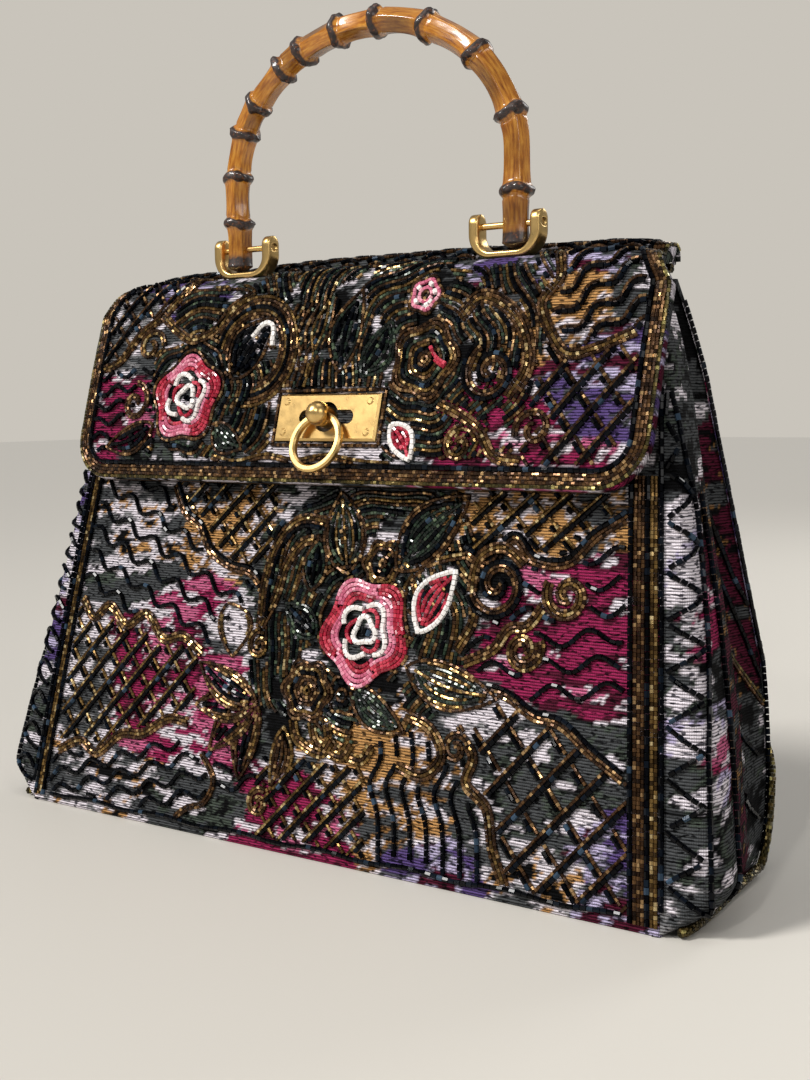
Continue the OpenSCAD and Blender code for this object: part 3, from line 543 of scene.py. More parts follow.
# Materials
class Shader:
    """A material's nodes, with a short way to add each kind."""

    def __init__(self, name, **values):
        self.material = bpy.data.materials.new(name)
        self.material.use_nodes = True
        self.tree = self.material.node_tree
        self.tree.nodes.clear()
        self.bsdf = self.node("BsdfPrincipled", **values)
        self.put(self.node("OutputMaterial").inputs[0], self.bsdf.outputs[0])

    def put(self, slot, value):
        """Links a slot to another node's output, or sets its own value."""
        if isinstance(value, bpy.types.NodeSocket):
            self.tree.links.new(value, slot)
        else:
            slot.default_value = (*value, 1) if slot.type == "RGBA" else value

    def node(self, kind, **inputs):
        n = self.tree.nodes.new("ShaderNode" + kind)
        for key, value in inputs.items():
            self.put(n.inputs[key.replace("_", " ")], value)
        return n

    def set(self, **inputs):
        for key, value in inputs.items():
            self.put(self.bsdf.inputs[key.replace("_", " ")], value)

    def coords(self, kind):
        return self.node("TexCoord").outputs[kind]

    def painted(self):
        n = self.node("VertexColor")
        n.layer_name = "Col"
        return n.outputs[0]

    def math(self, kind, *values):
        n = self.node("Math")
        n.operation = kind
        for slot, value in zip(n.inputs, values):
            self.put(slot, value)
        return n.outputs[0]

    def ramp(self, fac, *stops):
        n = self.node("ValToRGB", Fac=fac)
        while len(n.color_ramp.elements) < len(stops):
            n.color_ramp.elements.new(0.5)
        for e, (at, colour) in zip(n.color_ramp.elements, stops):
            e.position = at
            e.color = (*colour, 1)
        return n.outputs[0]

    def mix(self, kind, fac, a, b):
        n = self.node("Mix")
        n.data_type = "RGBA"
        n.blend_type = kind
        for i, value in ((0, fac), (6, a), (7, b)):
            self.put(n.inputs[i], value)
        return n.outputs[2]

    def noise(self, scale, detail, vector):
        return self.node("TexNoise", Scale=scale, Detail=detail, Vector=vector).outputs[0]

    def stretch(self, vector, scale):
        return self.node("Mapping", Vector=vector, Scale=scale).outputs[0]

    def spread(self, value, low, high):
        return self.node("MapRange", Value=value, To_Min=low, To_Max=high).outputs[0]

    def bump(self, height, strength, distance):
        n = self.node("Bump", Strength=strength, Distance=distance, Height=height)
        self.set(Normal=n.outputs[0])


def woven(name, base=None):
    """Ribbed tapestry cloth. Without a base colour it takes the painted colours."""
    sh = Shader(name, Roughness=0.9, Specular_IOR_Level=0.08)
    uv = sh.coords("UV")
    split = sh.node("SeparateXYZ", Vector=uv)
    weft_at = sh.math("MULTIPLY", split.outputs[1], UV_MM * 2 * math.pi / WEFT)
    weft = sh.math("SINE", sh.math("ADD", weft_at, sh.math("MULTIPLY", sh.noise(60, 2, uv), 2.2)))
    warp = sh.math("SINE", sh.math("MULTIPLY", split.outputs[0], UV_MM * 2 * math.pi / WARP))
    rib = sh.math("MULTIPLY_ADD", weft, 0.5, 0.5)
    # Painted shade in the grooves between the weft ribs, and a painted highlight on their crests
    shade = sh.ramp(rib, (0.0, (0.16, 0.16, 0.17)), (0.28, grey(0.86)), (0.62, grey(1.16)))
    if base is None:
        dash = sh.noise(1, 1, sh.stretch(uv, (30, 98, 1)))
        dashes = sh.ramp(dash, (0.38, (0.1, 0.1, 0.11)), (0.44, grey(1)))
        source = sh.mix("MULTIPLY", 1.0, sh.painted(), dashes)
    else:
        source = sh.mix("MIX", sh.noise(35, 4, uv), tuple(0.75 * c for c in base), base)
    speck = sh.ramp(sh.noise(900, 2, uv), (0.3, grey(0.7)), (0.7, grey(1.12)))
    sh.set(Base_Color=sh.mix("MULTIPLY", 1.0, sh.mix("MULTIPLY", 1.0, source, shade), speck))
    sh.bump(sh.math("ADD", weft, sh.math("MULTIPLY", warp, 0.35)), 0.55, 0.0004)
    return sh.material


def beads_material(name, metal, roughness, shine, *stops):
    sh = Shader(name, Metallic=metal, Roughness=roughness, Specular_IOR_Level=shine)
    chance = sh.node("NewGeometry").outputs["Random Per Island"]
    sh.set(Base_Color=sh.ramp(chance, *((at, lin(*colour)) for at, *colour in stops)))
    return sh.material


def gold(name, base, rough_low, rough_high):
    sh = Shader(name, Metallic=1.0)
    co = sh.coords("Object")
    sh.set(Base_Color=sh.mix("MIX", sh.noise(90, 4, co), tuple(0.82 * c for c in base), base),
           Roughness=sh.spread(sh.noise(260, 5, co), rough_low, rough_high))
    sh.bump(sh.noise(1500, 3, co), 0.05, 0.0003)
    return sh.material


def bamboo():
    """Lacquered cane, dark at the knuckles, the root scars and the feet, with painted light and shade on its
    flat sides.
    """
    sh = Shader("bamboo_cane", Coat_Weight=0.32, Coat_Roughness=0.08)
    uv = sh.coords("UV")
    streak = sh.noise(6, 5, sh.stretch(uv, (14, 2.2, 1)))
    honey = sh.ramp(streak, (0.26, lin(116, 58, 12)), (0.46, lin(180, 112, 30)), (0.7, lin(216, 152, 58)))
    spots = sh.ramp(sh.noise(14, 6, uv), (0.52, grey(0)), (0.72, grey(1)))
    toned = sh.mix("MIX", sh.math("MULTIPLY", spots, 0.55), honey, lin(134, 68, 20))
    knot = sh.node("Attribute")
    knot.attribute_name = "knot"
    edge = sh.math("MULTIPLY", knot.outputs["Fac"], sh.math("ADD", sh.noise(40, 5, uv), 0.5))
    burnt = sh.ramp(edge, (0.2, grey(0)), (0.54, grey(1)))
    # The painted colours carry the facets' own tone with painted light and shade
    shaded = sh.mix("MULTIPLY", 1.0, toned, sh.painted())
    bark = sh.noise(70, 5, uv)
    scar = sh.ramp(bark, (0.36, lin(18, 7, 4)), (0.56, lin(44, 20, 10)), (0.72, lin(118, 66, 28)))
    sh.set(Base_Color=sh.mix("MIX", burnt, shaded, scar), Roughness=sh.spread(edge, 0.24, 0.62))
    sh.bump(streak, 0.12, 0.0006)
    return sh.material


tapestry = woven("tapestry_cloth")
base_cloth = woven("base_cloth_weave", lin(50, 50, 54))
lining_cloth = woven("lining_weave", lin(116, 84, 58))
brass = gold("satin_gold", (0.78, 0.52, 0.2), 0.22, 0.38)
brass_dark = gold("pin_gold", (0.72, 0.46, 0.17), 0.25, 0.4)
snap_steel = gold("snap_steel", (0.62, 0.61, 0.58), 0.25, 0.42)
cane = bamboo()

# Kinds of beads: their letters, then their metal, roughness, shine and shades
KINDS = dict(n="navy", b="bronze", g="gold", o="olive", e="green", w="white", r="red", p="pink")
BEAD_LOOKS = {
    "navy": (0.0, 0.1, 0.1, (0, 1, 1, 2), (0.7, 3, 4, 8), (0.94, 12, 19, 28), (1, 56, 74, 92)),
    "bronze": (0.7, 0.26, 0.4, (0, 28, 17, 10), (0.5, 66, 44, 26), (0.85, 106, 76, 46), (1, 196, 160, 112)),
    "gold": (0.75, 0.24, 0.4, (0, 46, 33, 16), (0.5, 96, 72, 38), (0.85, 146, 116, 66), (1, 232, 208, 154)),
    "olive": (0.7, 0.24, 0.4, (0, 30, 27, 13), (0.5, 70, 62, 30), (0.85, 106, 88, 48), (1, 176, 166, 104)),
    "green": (0.2, 0.2, 0.4, (0, 5, 7, 6), (0.55, 16, 26, 21), (0.92, 42, 58, 44), (1, 108, 124, 98)),
    "white": (0.0, 0.22, 0.5, (0, 220, 214, 210), (1, 244, 241, 238)),
    "red": (0.0, 0.2, 0.5, (0, 112, 14, 32), (0.6, 168, 32, 56), (1, 206, 76, 94)),
    "pink": (0.0, 0.2, 0.5, (0, 178, 80, 108), (0.6, 208, 118, 144), (1, 234, 172, 186)),
}
BEADS = {kind: beads_material(kind + ("_bugles" if kind == "navy" else "_seeds"), *look)
         for kind, look in BEAD_LOOKS.items()}
# Their lengths and radii
BEAD_SIZE = {"navy": (2.5, 0.98), "white": (1.9, 1.1), "red": (1.55, 0.85), "pink": (1.55, 0.85)}
SEED = (1.4, 0.73)
SIDES = 6
# A bead's half length as a share of its length, and how far beads differ in size and turn
HALF, SIZE_SPREAD, TURN_SPREAD = 0.47, 0.12, 0.6
# Distance between rows, and between the two rows of a lattice or wave line
ROW, TWIN = 1.52, 1.62
# How close beads may lie, how high they sit and how far apart along a row, as shares of their own size
TIGHT, SIT, PITCH = 0.78, 0.82, 1.06
CELL = 2.0          # size of the cells in which beads look for neighbours
LONG = 2            # beads longer than this look for neighbours at their ends too
PATCHY = 0.22       # how much of the filling rows is left open
RING_ROW = 1.6      # distance between the filling rows
ROPE_PITCH, ROPE_TWIST = 1.04, 0.22     # of the beads on piping: spacing by length, radians by millimetre


def bead_mesh(name, kind, centre, along, normal, body):
    """One mesh of beads, each a short six-sided bar."""
    length, radius = BEAD_SIZE.get(kind, SEED)
    side = unit(np.cross(along, normal))
    normal = np.cross(side, along)
    index = np.arange(len(centre))
    size = radius * (1 - SIZE_SPREAD / 2 + SIZE_SPREAD * lattice_value(index, index * 0, 41))
    turn = (lattice_value(index, index * 0, 43) - 0.5) * TURN_SPREAD
    points = np.empty((len(centre), 2 * SIDES, 3))
    for j, end in enumerate((-1, 1)):
        for k in range(SIDES):
            angle = math.radians(60 * k + 30) + turn
            ring = side * (np.cos(angle) * size)[:, None] + normal * (np.sin(angle) * size)[:, None]
            points[:, j * SIDES + k] = centre + along * end * length * HALF + ring
    tri = []
    for k in range(SIDES):
        m = (k + 1) % SIDES
        tri += [[k, m, SIDES + m], [k, SIDES + m, SIDES + k]]
    for k in range(1, SIDES - 1):
        tri += [[0, k + 1, k], [SIDES, SIDES + k, SIDES + 1 + k]]
    tris = (np.array(tri)[None] + (index * 2 * SIDES)[:, None, None]).reshape(-1, 3)
    obj = mesh_object(name, points.reshape(-1, 3), tris, smooth=False)
    obj.data.materials.append(BEADS[kind])
    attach(obj, body)
    return obj


# Lines that beads are laid along
def catmull(points, n=10):
    p = np.asarray(points, dtype=float)
    p = join(2 * p[:1] - p[1:2], p, 2 * p[-1:] - p[-2:-1])
    t = np.linspace(0, 1, n, endpoint=False)[:, None]
    out = []
    for a, b, c, d in zip(p, p[1:], p[2:], p[3:]):
        cubic = (3 * b - a - 3 * c + d) * t ** 3
        out.append(0.5 * (2 * b + (c - a) * t + (2 * a - 5 * b + 4 * c - d) * t ** 2 + cubic))
    return np.concatenate(out + [p[-2:-1]])


def parallel(points, d):
    p = np.asarray(points, dtype=float)
    t = unit(np.gradient(p, axis=0))
    return p + d * stack(-t[:, 1], t[:, 0])


def inside(poly, p):
    hit = np.zeros(len(p), dtype=bool)
    for (x0, y0), (x1, y1) in zip(poly, np.roll(poly, -1, axis=0)):
        if y0 != y1:
            across = p[:, 0] < (x1 - x0) * (p[:, 1] - y0) / (y1 - y0) + x0
            hit ^= ((y0 > p[:, 1]) != (y1 > p[:, 1])) & across
    return hit


def polar(cx, cy, r, a):
    return stack(cx + r * np.cos(a), cy + r * np.sin(a))


def circle(cx, cy, r, a0=0.0, a1=360.0):
    return polar(cx, cy, r, np.radians(np.linspace(a0, a1, 60)))


def heading(degrees):
    """A direction and the one square to it."""
    d = np.array([math.cos(math.radians(degrees)), math.sin(math.radians(degrees))])
    return d, np.array([-d[1], d[0]])


LEAF_STEPS = 24


def leaf_outline(base, tip, width, lean=0.0):
    b, t = np.array(base, dtype=float), np.array(tip, dtype=float)
    d = t - b
    side = np.array([-d[1], d[0]]) / np.linalg.norm(d)
    k = np.linspace(0, 1, LEAF_STEPS)[:, None]
    w = width / 2 * np.sin(np.pi * k ** 0.85) ** 0.9
    mid = b + d * k + side * lean * np.sin(np.pi * k)
    return join(mid + side * w, (mid - side * w)[::-1])


class Panel:
    """Beads laid in rows on a surface. Kinds of beads are given by their letters."""

    def __init__(self, name, body, face, out, keep=None):
        self.name, self.body, self.face, self.out, self.keep = name, body, face, out, keep
        self.rows, self.taken = {}, {}

    def cell(self, p):
        return tuple(int(math.floor(c / CELL)) for c in p)

    def free(self, p, reach):
        i0, j0, k0 = self.cell(p)
        for i in (i0 - 1, i0, i0 + 1):
            for j in (j0 - 1, j0, j0 + 1):
                for k in (k0 - 1, k0, k0 + 1):
                    for q, r in self.taken.get((i, j, k), ()):
                        near = (q[0] - p[0]) ** 2 + (q[1] - p[1]) ** 2 + (q[2] - p[2]) ** 2
                        if near < (reach + r) ** 2:
                            return False
        return True

    def line(self, points, kind, poly=None, lift=0.0, patchy=0.0):
        """A row of beads along a line, left out where other beads lie already."""
        kind = KINDS[kind]
        length, radius = BEAD_SIZE.get(kind, SEED)
        p = np.asarray(points, dtype=float)
        step = length_along(p)
        fine = np.linspace(0, step[-1], max(int(step[-1] / 0.5), 4))
        uv = [np.interp(fine, step, p[:, i]) for i in (0, 1)]
        run = length_along(self.face(*uv))

        def on(d):
            return [np.interp(d, run, c) for c in uv]
        at = np.arange(length * PITCH / 2, run[-1], length * PITCH)
        u, v = on(at)
        ok = np.ones(len(at), dtype=bool)
        if poly is not None:
            ok &= inside(np.asarray(poly, dtype=float), stack(u, v))
        if self.keep is not None:
            ok &= self.keep(u, v)
        if patchy:
            ok &= noise(u / 9, v / 9, 71) > patchy
        normal = normals(self.face, u, v, self.out)
        along = unit(self.face(*on(at + 0.3)) - self.face(*on(at - 0.3)))
        centre = self.face(u, v) + normal * (radius * SIT + lift)
        reach = radius * TIGHT
        offsets = (-0.9, 0.0, 0.9) if length > LONG else (0.0,)
        placed = []
        for i in np.nonzero(ok)[0]:
            spots = [tuple((centre[i] + k * along[i]).tolist()) for k in offsets]
            if all(self.free(s, reach) for s in spots):
                self.rows.setdefault(kind, []).append((centre[i], along[i], normal[i]))
                placed += spots
        for s in placed:
            self.taken.setdefault(self.cell(s), []).append((s, reach))

    def rows_of(self, points, kinds):
        for i, kind in enumerate(kinds):
            self.line(parallel(points, (i - (len(kinds) - 1) / 2) * ROW), kind)

    def scroll(self, kinds, *points):
        self.rows_of(catmull(points), kinds)

    def rose(self, cx, cy, r, turn):
        """A round flower of petals: dark eye, white inner outlines, red and pink petals."""
        a = np.linspace(0, 2 * np.pi, 160)

        def ring(radius, lobes, depth, shift):
            return polar(cx, cy, radius * (1 + depth * np.cos(lobes * (a + shift))), a)
        self.line(circle(cx, cy, 0.5), "n")
        self.line(circle(cx, cy, 2.0), "n")
        self.line(ring(0.25 * r, 3, 0.18, turn), "w")
        self.line(ring(0.37 * r, 3, 0.2, turn + 0.5), "r")
        self.line(ring(0.53 * r, 4, 0.16, turn + 0.2), "w")
        k = 0.65
        while k < 1.0:
            pts = ring(k * r, 5, 0.05 + 0.05 * k, turn)
            for petal in range(5):
                self.line(pts[petal * 32:petal * 32 + 33], "p" if (petal + (k < 0.74)) % 2 else "r")
            k += 1.72 / r
        self.line(ring(r * 1.05, 5, 0.1, turn), "b")

    def bloom(self, cx, cy, r, kinds, lobes=6):
        """A small flower of rings."""
        a = np.linspace(0, 2 * np.pi, 120)
        k, i = r, 0
        while k > 0.6:
            self.line(polar(cx, cy, k * (1 + 0.1 * np.cos(lobes * a) * k / r), a), kinds[i % len(kinds)])
            k -= ROW
            i += 1

    def leaf(self, base, tip, width, outline, fill, lean=0.0):
        w = width
        for kind in outline:
            p = leaf_outline(base, tip, w, lean)
            self.line(join(p, p[:1]), kind)
            w -= 2 * ROW
        b, t = np.array(base, dtype=float), np.array(tip, dtype=float)
        inner_b, inner_t = b + (t - b) * 0.1, t - (t - b) * 0.1
        if fill:
            self.line(leaf_outline(inner_b, inner_t, 0.01, lean)[:LEAF_STEPS], fill[0])
            k = 1
            while w > 1.5:
                p = leaf_outline(inner_b, inner_t, w, lean)
                self.line(join(p, p[:1]), fill[k % len(fill)])
                w -= 2 * ROW + 0.1
                k += 1

    def curl(self, cx, cy, r, a0, turns, kinds):
        k = np.linspace(0, 1, 90)
        self.rows_of(polar(cx, cy, r + (1.2 - r) * k, np.radians(a0) + 2 * np.pi * turns * k), kinds)

    def trellis(self, poly, pitch, tilt, kinds, origin=(0, 0)):
        """A lattice of crossing double lines inside an outline."""
        poly, origin = np.asarray(poly, dtype=float), np.array(origin, dtype=float)
        lo, hi = poly.min(0), poly.max(0)
        reach = float(np.linalg.norm(hi - lo))
        mid = (lo + hi) / 2
        n = np.linspace(-reach / 2, reach / 2, 40)[:, None]
        for lean in (tilt, -tilt):
            d, s = heading(lean)
            first = math.floor((np.dot(mid - origin, s) - reach / 2) / pitch)
            for k in range(first, first + int(reach / pitch) + 3):
                c = origin + s * k * pitch
                c = c + d * np.dot(mid - c, d)
                for i, kind in enumerate(kinds):
                    self.line(c + d * n + s * i * TWIN, kind, poly)

    def waves(self, kinds, start, step, count, length, slope, swing, period, *poly):
        """Wavy lines inside an outline."""
        k = np.linspace(0, 1, 120)
        d, s = heading(slope)
        for i in range(count):
            first = np.array([start[0] + step[0] * i, start[1] + step[1] * i])
            w = swing * np.sin(2 * np.pi * k * length / period + 1.3 * i)
            p = first + d * (k * length)[:, None] + s * w[:, None]
            for j, kind in enumerate(kinds):
                self.line(parallel(p, TWIN * j), kind, poly)

    def rings(self, cx, cy, r, count, kinds, *poly):
        """Rows of beads round a point, close together, with the cloth showing in patches."""
        a = np.linspace(0, 2 * np.pi, 240)
        for k in range(count):
            wobble = 1 + 0.045 * np.sin(5 * a + 1.1 + 0.05 * k) + 0.03 * np.sin(9 * a - 0.08 * k)
            ring = polar(cx, cy, (r + RING_ROW * k) * wobble, a)
            self.line(ring, kinds[k % len(kinds)], poly, patchy=PATCHY)

    def build(self):
        for kind, beads in sorted(self.rows.items()):
            centre, along, normal = (np.array([b[i] for b in beads]) for i in range(3))
            bead_mesh(f"{self.name}_{kind}_beads", kind, centre, along, normal, self.body)


# The beadwork of each panel. What is laid first stays on top, because later rows leave it free.
def front_art(p):
    v = np.linspace(2.5, BEADED_H, 70)
    edge = front_half(v)
    for inset, kind in zip((1.0, 2.5, 4.2, 5.9, 7.4, 8.9, 10.7), "ggnbbbn"):
        p.line(stack(edge - inset, v), kind)
    for inset, kind in zip((1.2, 3.0, 4.5, 6.2), "nggn"):
        p.line(stack(-edge + inset, v), kind)
    across = np.linspace(-148, 148, 80)
    p.line(stack(across, 4.4 + 0.6 * np.sin(across / 7)), "n")

    p.rose(24, 92, 20, 0.4)
    p.leaf((12, 114), (4, 147), 21, "bb", "gen")
    p.leaf((36, 117), (66, 147), 22, "bb", "ene", 2)
    p.leaf((46, 80), (88, 72), 17, "bg", "ge", -2)
    p.leaf((20, 70), (48, 55), 13, "b", "e", -2)
    p.leaf((-6, 106), (-4, 128), 12, "b", "ne")
    p.leaf((0, 88), (-18, 100), 12, "e", "ne")
    p.bloom(29, 119, 9, "bgbnn")
    p.leaf((50, 94), (64, 118), 15, "w", "rrn", 2)
    p.rows_of(leaf_outline((46, 90), (68, 124), 24, 3)[:LEAF_STEPS], "bg")
    p.curl(83, 114, 12, 200, 1.5, "nbb")
    p.curl(113, 112, 9, 150, 1.35, "bgb")
    p.curl(97, 91, 7.5, 30, -1.3, "bbg")
    p.scroll("bgb", (68, 88), (74, 100), (72, 112), (74, 124), (84, 128), (94, 122))
    p.scroll("bbg", (104, 108), (98, 100), (90, 98), (84, 90), (72, 84))
    p.scroll("bgbn", (-2, 134), (-16, 134), (-26, 124), (-30, 108), (-30, 94))
    p.scroll("bgb", (0, 126), (-12, 126), (-20, 116), (-24, 102), (-30, 90))
    p.leaf((-50, 98), (-44, 76), 18, "bg", "", 3)
    p.curl(-30, 82, 6, 90, 1.2, "gb")
    p.bloom(-2, 66, 12, "bbgnb")
    p.bloom(16, 66, 7, "bnn")
    for tip, wide, lean in (((-62, 72), 15, 2), ((-62, 54), 15, 0), ((-52, 36), 15, -2), ((-34, 26), 14, -2)):
        p.leaf((-28, 58), tip, wide, "bgb", "n", lean)
    p.leaf((-12, 50), (-16, 24), 11, "gb", "b", 2)
    for x0, x1 in ((-8, 8), (2, 18), (10, 28)):
        p.scroll("gbg", (x0, 54), (x0 + 4, 46), (x1, 42), (x1 + 5, 48))
    p.scroll("bgb", (48, 62), (60, 58), (66, 48), (58, 40), (46, 42))
    p.curl(72, 52, 6, 20, 1.3, "bb")
    p.curl(-22, 18, 6, 60, 1.3, "gb")

    p.scroll("bgb", (-141, 94), (-132, 86), (-122, 92), (-110, 84), (-98, 90), (-86, 80), (-74, 82),
             (-62, 76))
    p.scroll("bgb", (-146, 24), (-132, 30), (-120, 26), (-106, 36), (-92, 38), (-78, 46), (-66, 46))
    p.scroll("bbn", (-90, 148), (-82, 136), (-72, 130), (-64, 120), (-52, 114), (-40, 112), (-32, 106))
    p.scroll("bbn", (66, 126), (78, 122), (88, 132), (98, 124), (112, 124), (122, 134), (134, 142),
             (140, 150))
    p.scroll("bbn", (78, 76), (92, 74), (104, 68), (116, 66), (128, 58), (142, 50))
    p.scroll("bgb", (72, 60), (80, 50), (78, 40), (88, 32), (92, 18), (98, 6))
    p.scroll("bb", (-56, 34), (-48, 24), (-52, 14), (-62, 10), (-70, 4))

    p.trellis([(-147, 30), (-143, 92), (-110, 84), (-64, 76), (-64, 48), (-92, 38), (-120, 28)],
              9.6, 47, "ng")
    p.trellis([(-88, 149), (-72, 131), (-52, 115), (-30, 106), (-30, 149)], 9.2, 45, "ng", (4, 2))
    p.trellis([(68, 149), (70, 127), (88, 131), (112, 125), (136, 149)], 9.4, 42, "ng", (2, 0))
    p.trellis([(80, 56), (80, 73), (116, 65), (143, 49), (150, 5), (98, 5), (90, 26)], 13, 48, "nb", (6, 4))
    p.trellis([(-24, 5), (-24, 36), (30, 40), (34, 5)], 8.6, 46, "ng", (1, 2))
    p.waves("n", (-158, 112), (4, 9.5), 9, 150, -22, 2.4, 19,
            (-142, 149), (-142, 92), (-60, 78), (-36, 106), (-70, 131), (-90, 149))
    p.waves("n", (62, 70), (0, 9.6), 9, 110, 8, 2.6, 22,
            (98, 123), (136, 148), (142, 120), (145, 52), (110, 67), (78, 76), (70, 86))
    p.waves("n", (-166, -16), (4, 9), 7, 160, 17, 2.2, 20,
            (-152, 5), (-148, 24), (-92, 38), (-56, 36), (-24, 34), (-24, 5))
    for k in range(7):
        x = 36 + 7.6 * k
        line = catmull([(x, 56), (x + 2, 44), (x - 2, 34), (x + 3, 22), (x + 5, 5)])
        p.line(line, "n", [(34, 5), (32, 52), (74, 58), (90, 26), (97, 5)])
    p.rings(24, 92, 23, 26, "benebge",
            (-34, 60), (-34, 128), (0, 148), (64, 148), (76, 124), (72, 84), (60, 60), (20, 46))


def flap_art(p):
    def hem(inset):
        r = FLAP_R - inset
        w = FLAP_W / 2 - inset
        turns = np.radians(np.linspace(180, 270, 16))
        corner = [(-w + r + r * math.cos(a), inset + r + r * math.sin(a)) for a in turns]
        up_side = np.linspace(FLAP_LEN - 6, r + inset + 1, 90)
        pts = [(-(flap_half(s) - inset), s) for s in up_side] + corner
        return np.array(pts + [(-x, s) for x, s in reversed(pts)])
    for inset, kind in zip((0.9, 2.4, 3.9, 5.4, 7.2), "obbbn"):
        p.line(hem(inset), kind)
    p.line([(-27.5, 15.6), (27.5, 15.6), (27.5, 38.4), (-27.5, 38.4), (-27.5, 15.6)], "b")

    p.rose(-80, 36, 18.5, 0.9)
    p.line(catmull([(-47, 62), (-41, 67.5), (-36, 66), (-35, 58)]), "w", lift=0.6)
    p.leaf((-56, 44), (-36, 70), 19, "bn", "nn", 3)
    for k, kind in enumerate("bbgnbbg"):
        p.line(circle(-46, 56, 15 + ROW * k, -70 - 4 * k, 190 - 6 * k), kind)
    for k, kind in enumerate("bgbbg"):
        x = 3.6 * k
        p.line(catmull([(-30 + x, 40), (-27 + x, 52), (-29 + x, 64), (-25 + 4 * k, 76)]), kind)
    p.leaf((2, 46), (8, 80), 16, "b", "nen", 2)
    p.leaf((14, 44), (26, 66), 14, "e", "ne", -2)
    p.bloom(40, 76, 7.5, "bpwp", 5)
    for drop in (0, ROW):
        p.line(catmull([(46, 55 - drop), (49, 51 - drop), (54, 48 - drop)]), "r")
    p.bloom(44, 50, 15, "bbgnebgn", 5)
    p.leaf((33, 24), (44, 10), 10, "w", "rr", 1)
    p.curl(76, 44, 12, 120, 1.5, "nbb")
    p.scroll("bgbb", (58, 66), (66, 74), (78, 70), (88, 60), (92, 46), (86, 34))
    p.scroll("bgb", (54, 32), (64, 28), (74, 22), (82, 12), (94, 10))
    p.curl(66, 16, 8, 10, 1.4, "bg")
    p.curl(98, 22, 8, 200, -1.3, "bb")
    p.curl(-108, 60, 8, 0, 1.3, "bg")
    p.curl(-112, 34, 9, 90, -1.3, "bb")
    p.leaf((-98, 24), (-126, 14), 13, "bb", "n", 2)
    p.leaf((-62, 24), (-44, 14), 12, "be", "e", -2)
    p.scroll("bgb", (-104, 74), (-92, 66), (-82, 62), (-70, 66), (-62, 76), (-50, 82))
    p.scroll("bg", (-60, 10), (-46, 8), (-30, 11), (-14, 9), (2, 11), (18, 9), (34, 8))
    p.scroll("bgb", (96, 92), (100, 80), (94, 70), (100, 58), (108, 50), (120, 52), (134, 58))
    p.scroll("bgb", (-138, 50), (-126, 54), (-116, 66), (-104, 74), (-92, 86), (-84, 100))

    p.trellis([(-140, 50), (-126, 54), (-104, 74), (-84, 102), (-140, 104)], 8.6, 48, "nb")
    p.trellis([(92, 9), (100, 57), (120, 51), (138, 60), (138, 24), (126, 9)], 10.5, 50, "nb", (4, 3))
    p.waves("nb", (78, 20), (0, 9.4), 10, 90, 34, 2.0, 17,
            (98, 100), (98, 66), (108, 52), (138, 60), (138, 104))
    p.waves("n", (-148, 10), (0, 7), 6, 60, 6, 1.8, 16, (-138, 12), (-138, 48), (-104, 50), (-96, 10))
    p.waves("bn", (-140, 106), (0, 4.6), 6, 290, 0, 1.3, 15, (-136, 104), (136, 104), (136, 128), (-136, 128))
    p.rings(-80, 36, 21, 42, "enbebgn", (-100, 10), (-104, 56), (-84, 100), (-30, 104), (-30, 40), (-30, 10))
    p.rings(44, 50, 17, 42, "benbegn",
            (-28, 40), (-28, 104), (96, 104), (98, 60), (90, 12), (30, 10), (29, 40))


def strip_edge(z):
    """Width of the gusset's zigzag strip at a height."""
    return np.interp(z, [0, 20, 60, 100, 140, 160, 180, 194], [18, 18, 17, 19, 17, 9.5, 4.5, 2.0])


def side_lines(p):
    """Lines that both gussets have: the front edge, the crest, the back edge and the diagonals."""
    z = np.linspace(8, 216, 90)
    p.line(stack(np.full_like(z, 1.0), z), "n")
    p.line(stack(strip_edge(z[:76]), z[:76]), "n")
    crest = z[z < 146]
    p.line(stack(np.interp(crest, [0, 40, 100, 146], [38, 38, 33, 24]), crest), "n")
    p.line(stack(side_wide(z) - 1.2, z), "n")
    p.rows_of([(66, 92), (104, 62)], "bo")
    for low, high in (((101, 72), (62, 128)), ((104, 84), (50, 150)), ((98, 44), (60, 66)),
                      ((96, 22), (58, 40))):
        p.line(np.linspace(low, high, 40), "n")


def right_art(p):
    side_lines(p)
    levels = np.arange(9, 186, 8.6)
    p.line([(2.4 if k % 2 else strip_edge(z) - 1.4, z) for k, z in enumerate(levels)], "n")


def left_art(p):
    side_lines(p)
    for k in range(11):
        z = 14 + 14.5 * k
        wide = float(strip_edge(z))
        loop = [(2.6, z), (wide * 0.55, z + 5), (wide - 2, z + 1), (wide * 0.5, z - 4), (2.6, z - 6)]
        p.line(catmull(loop), "n")


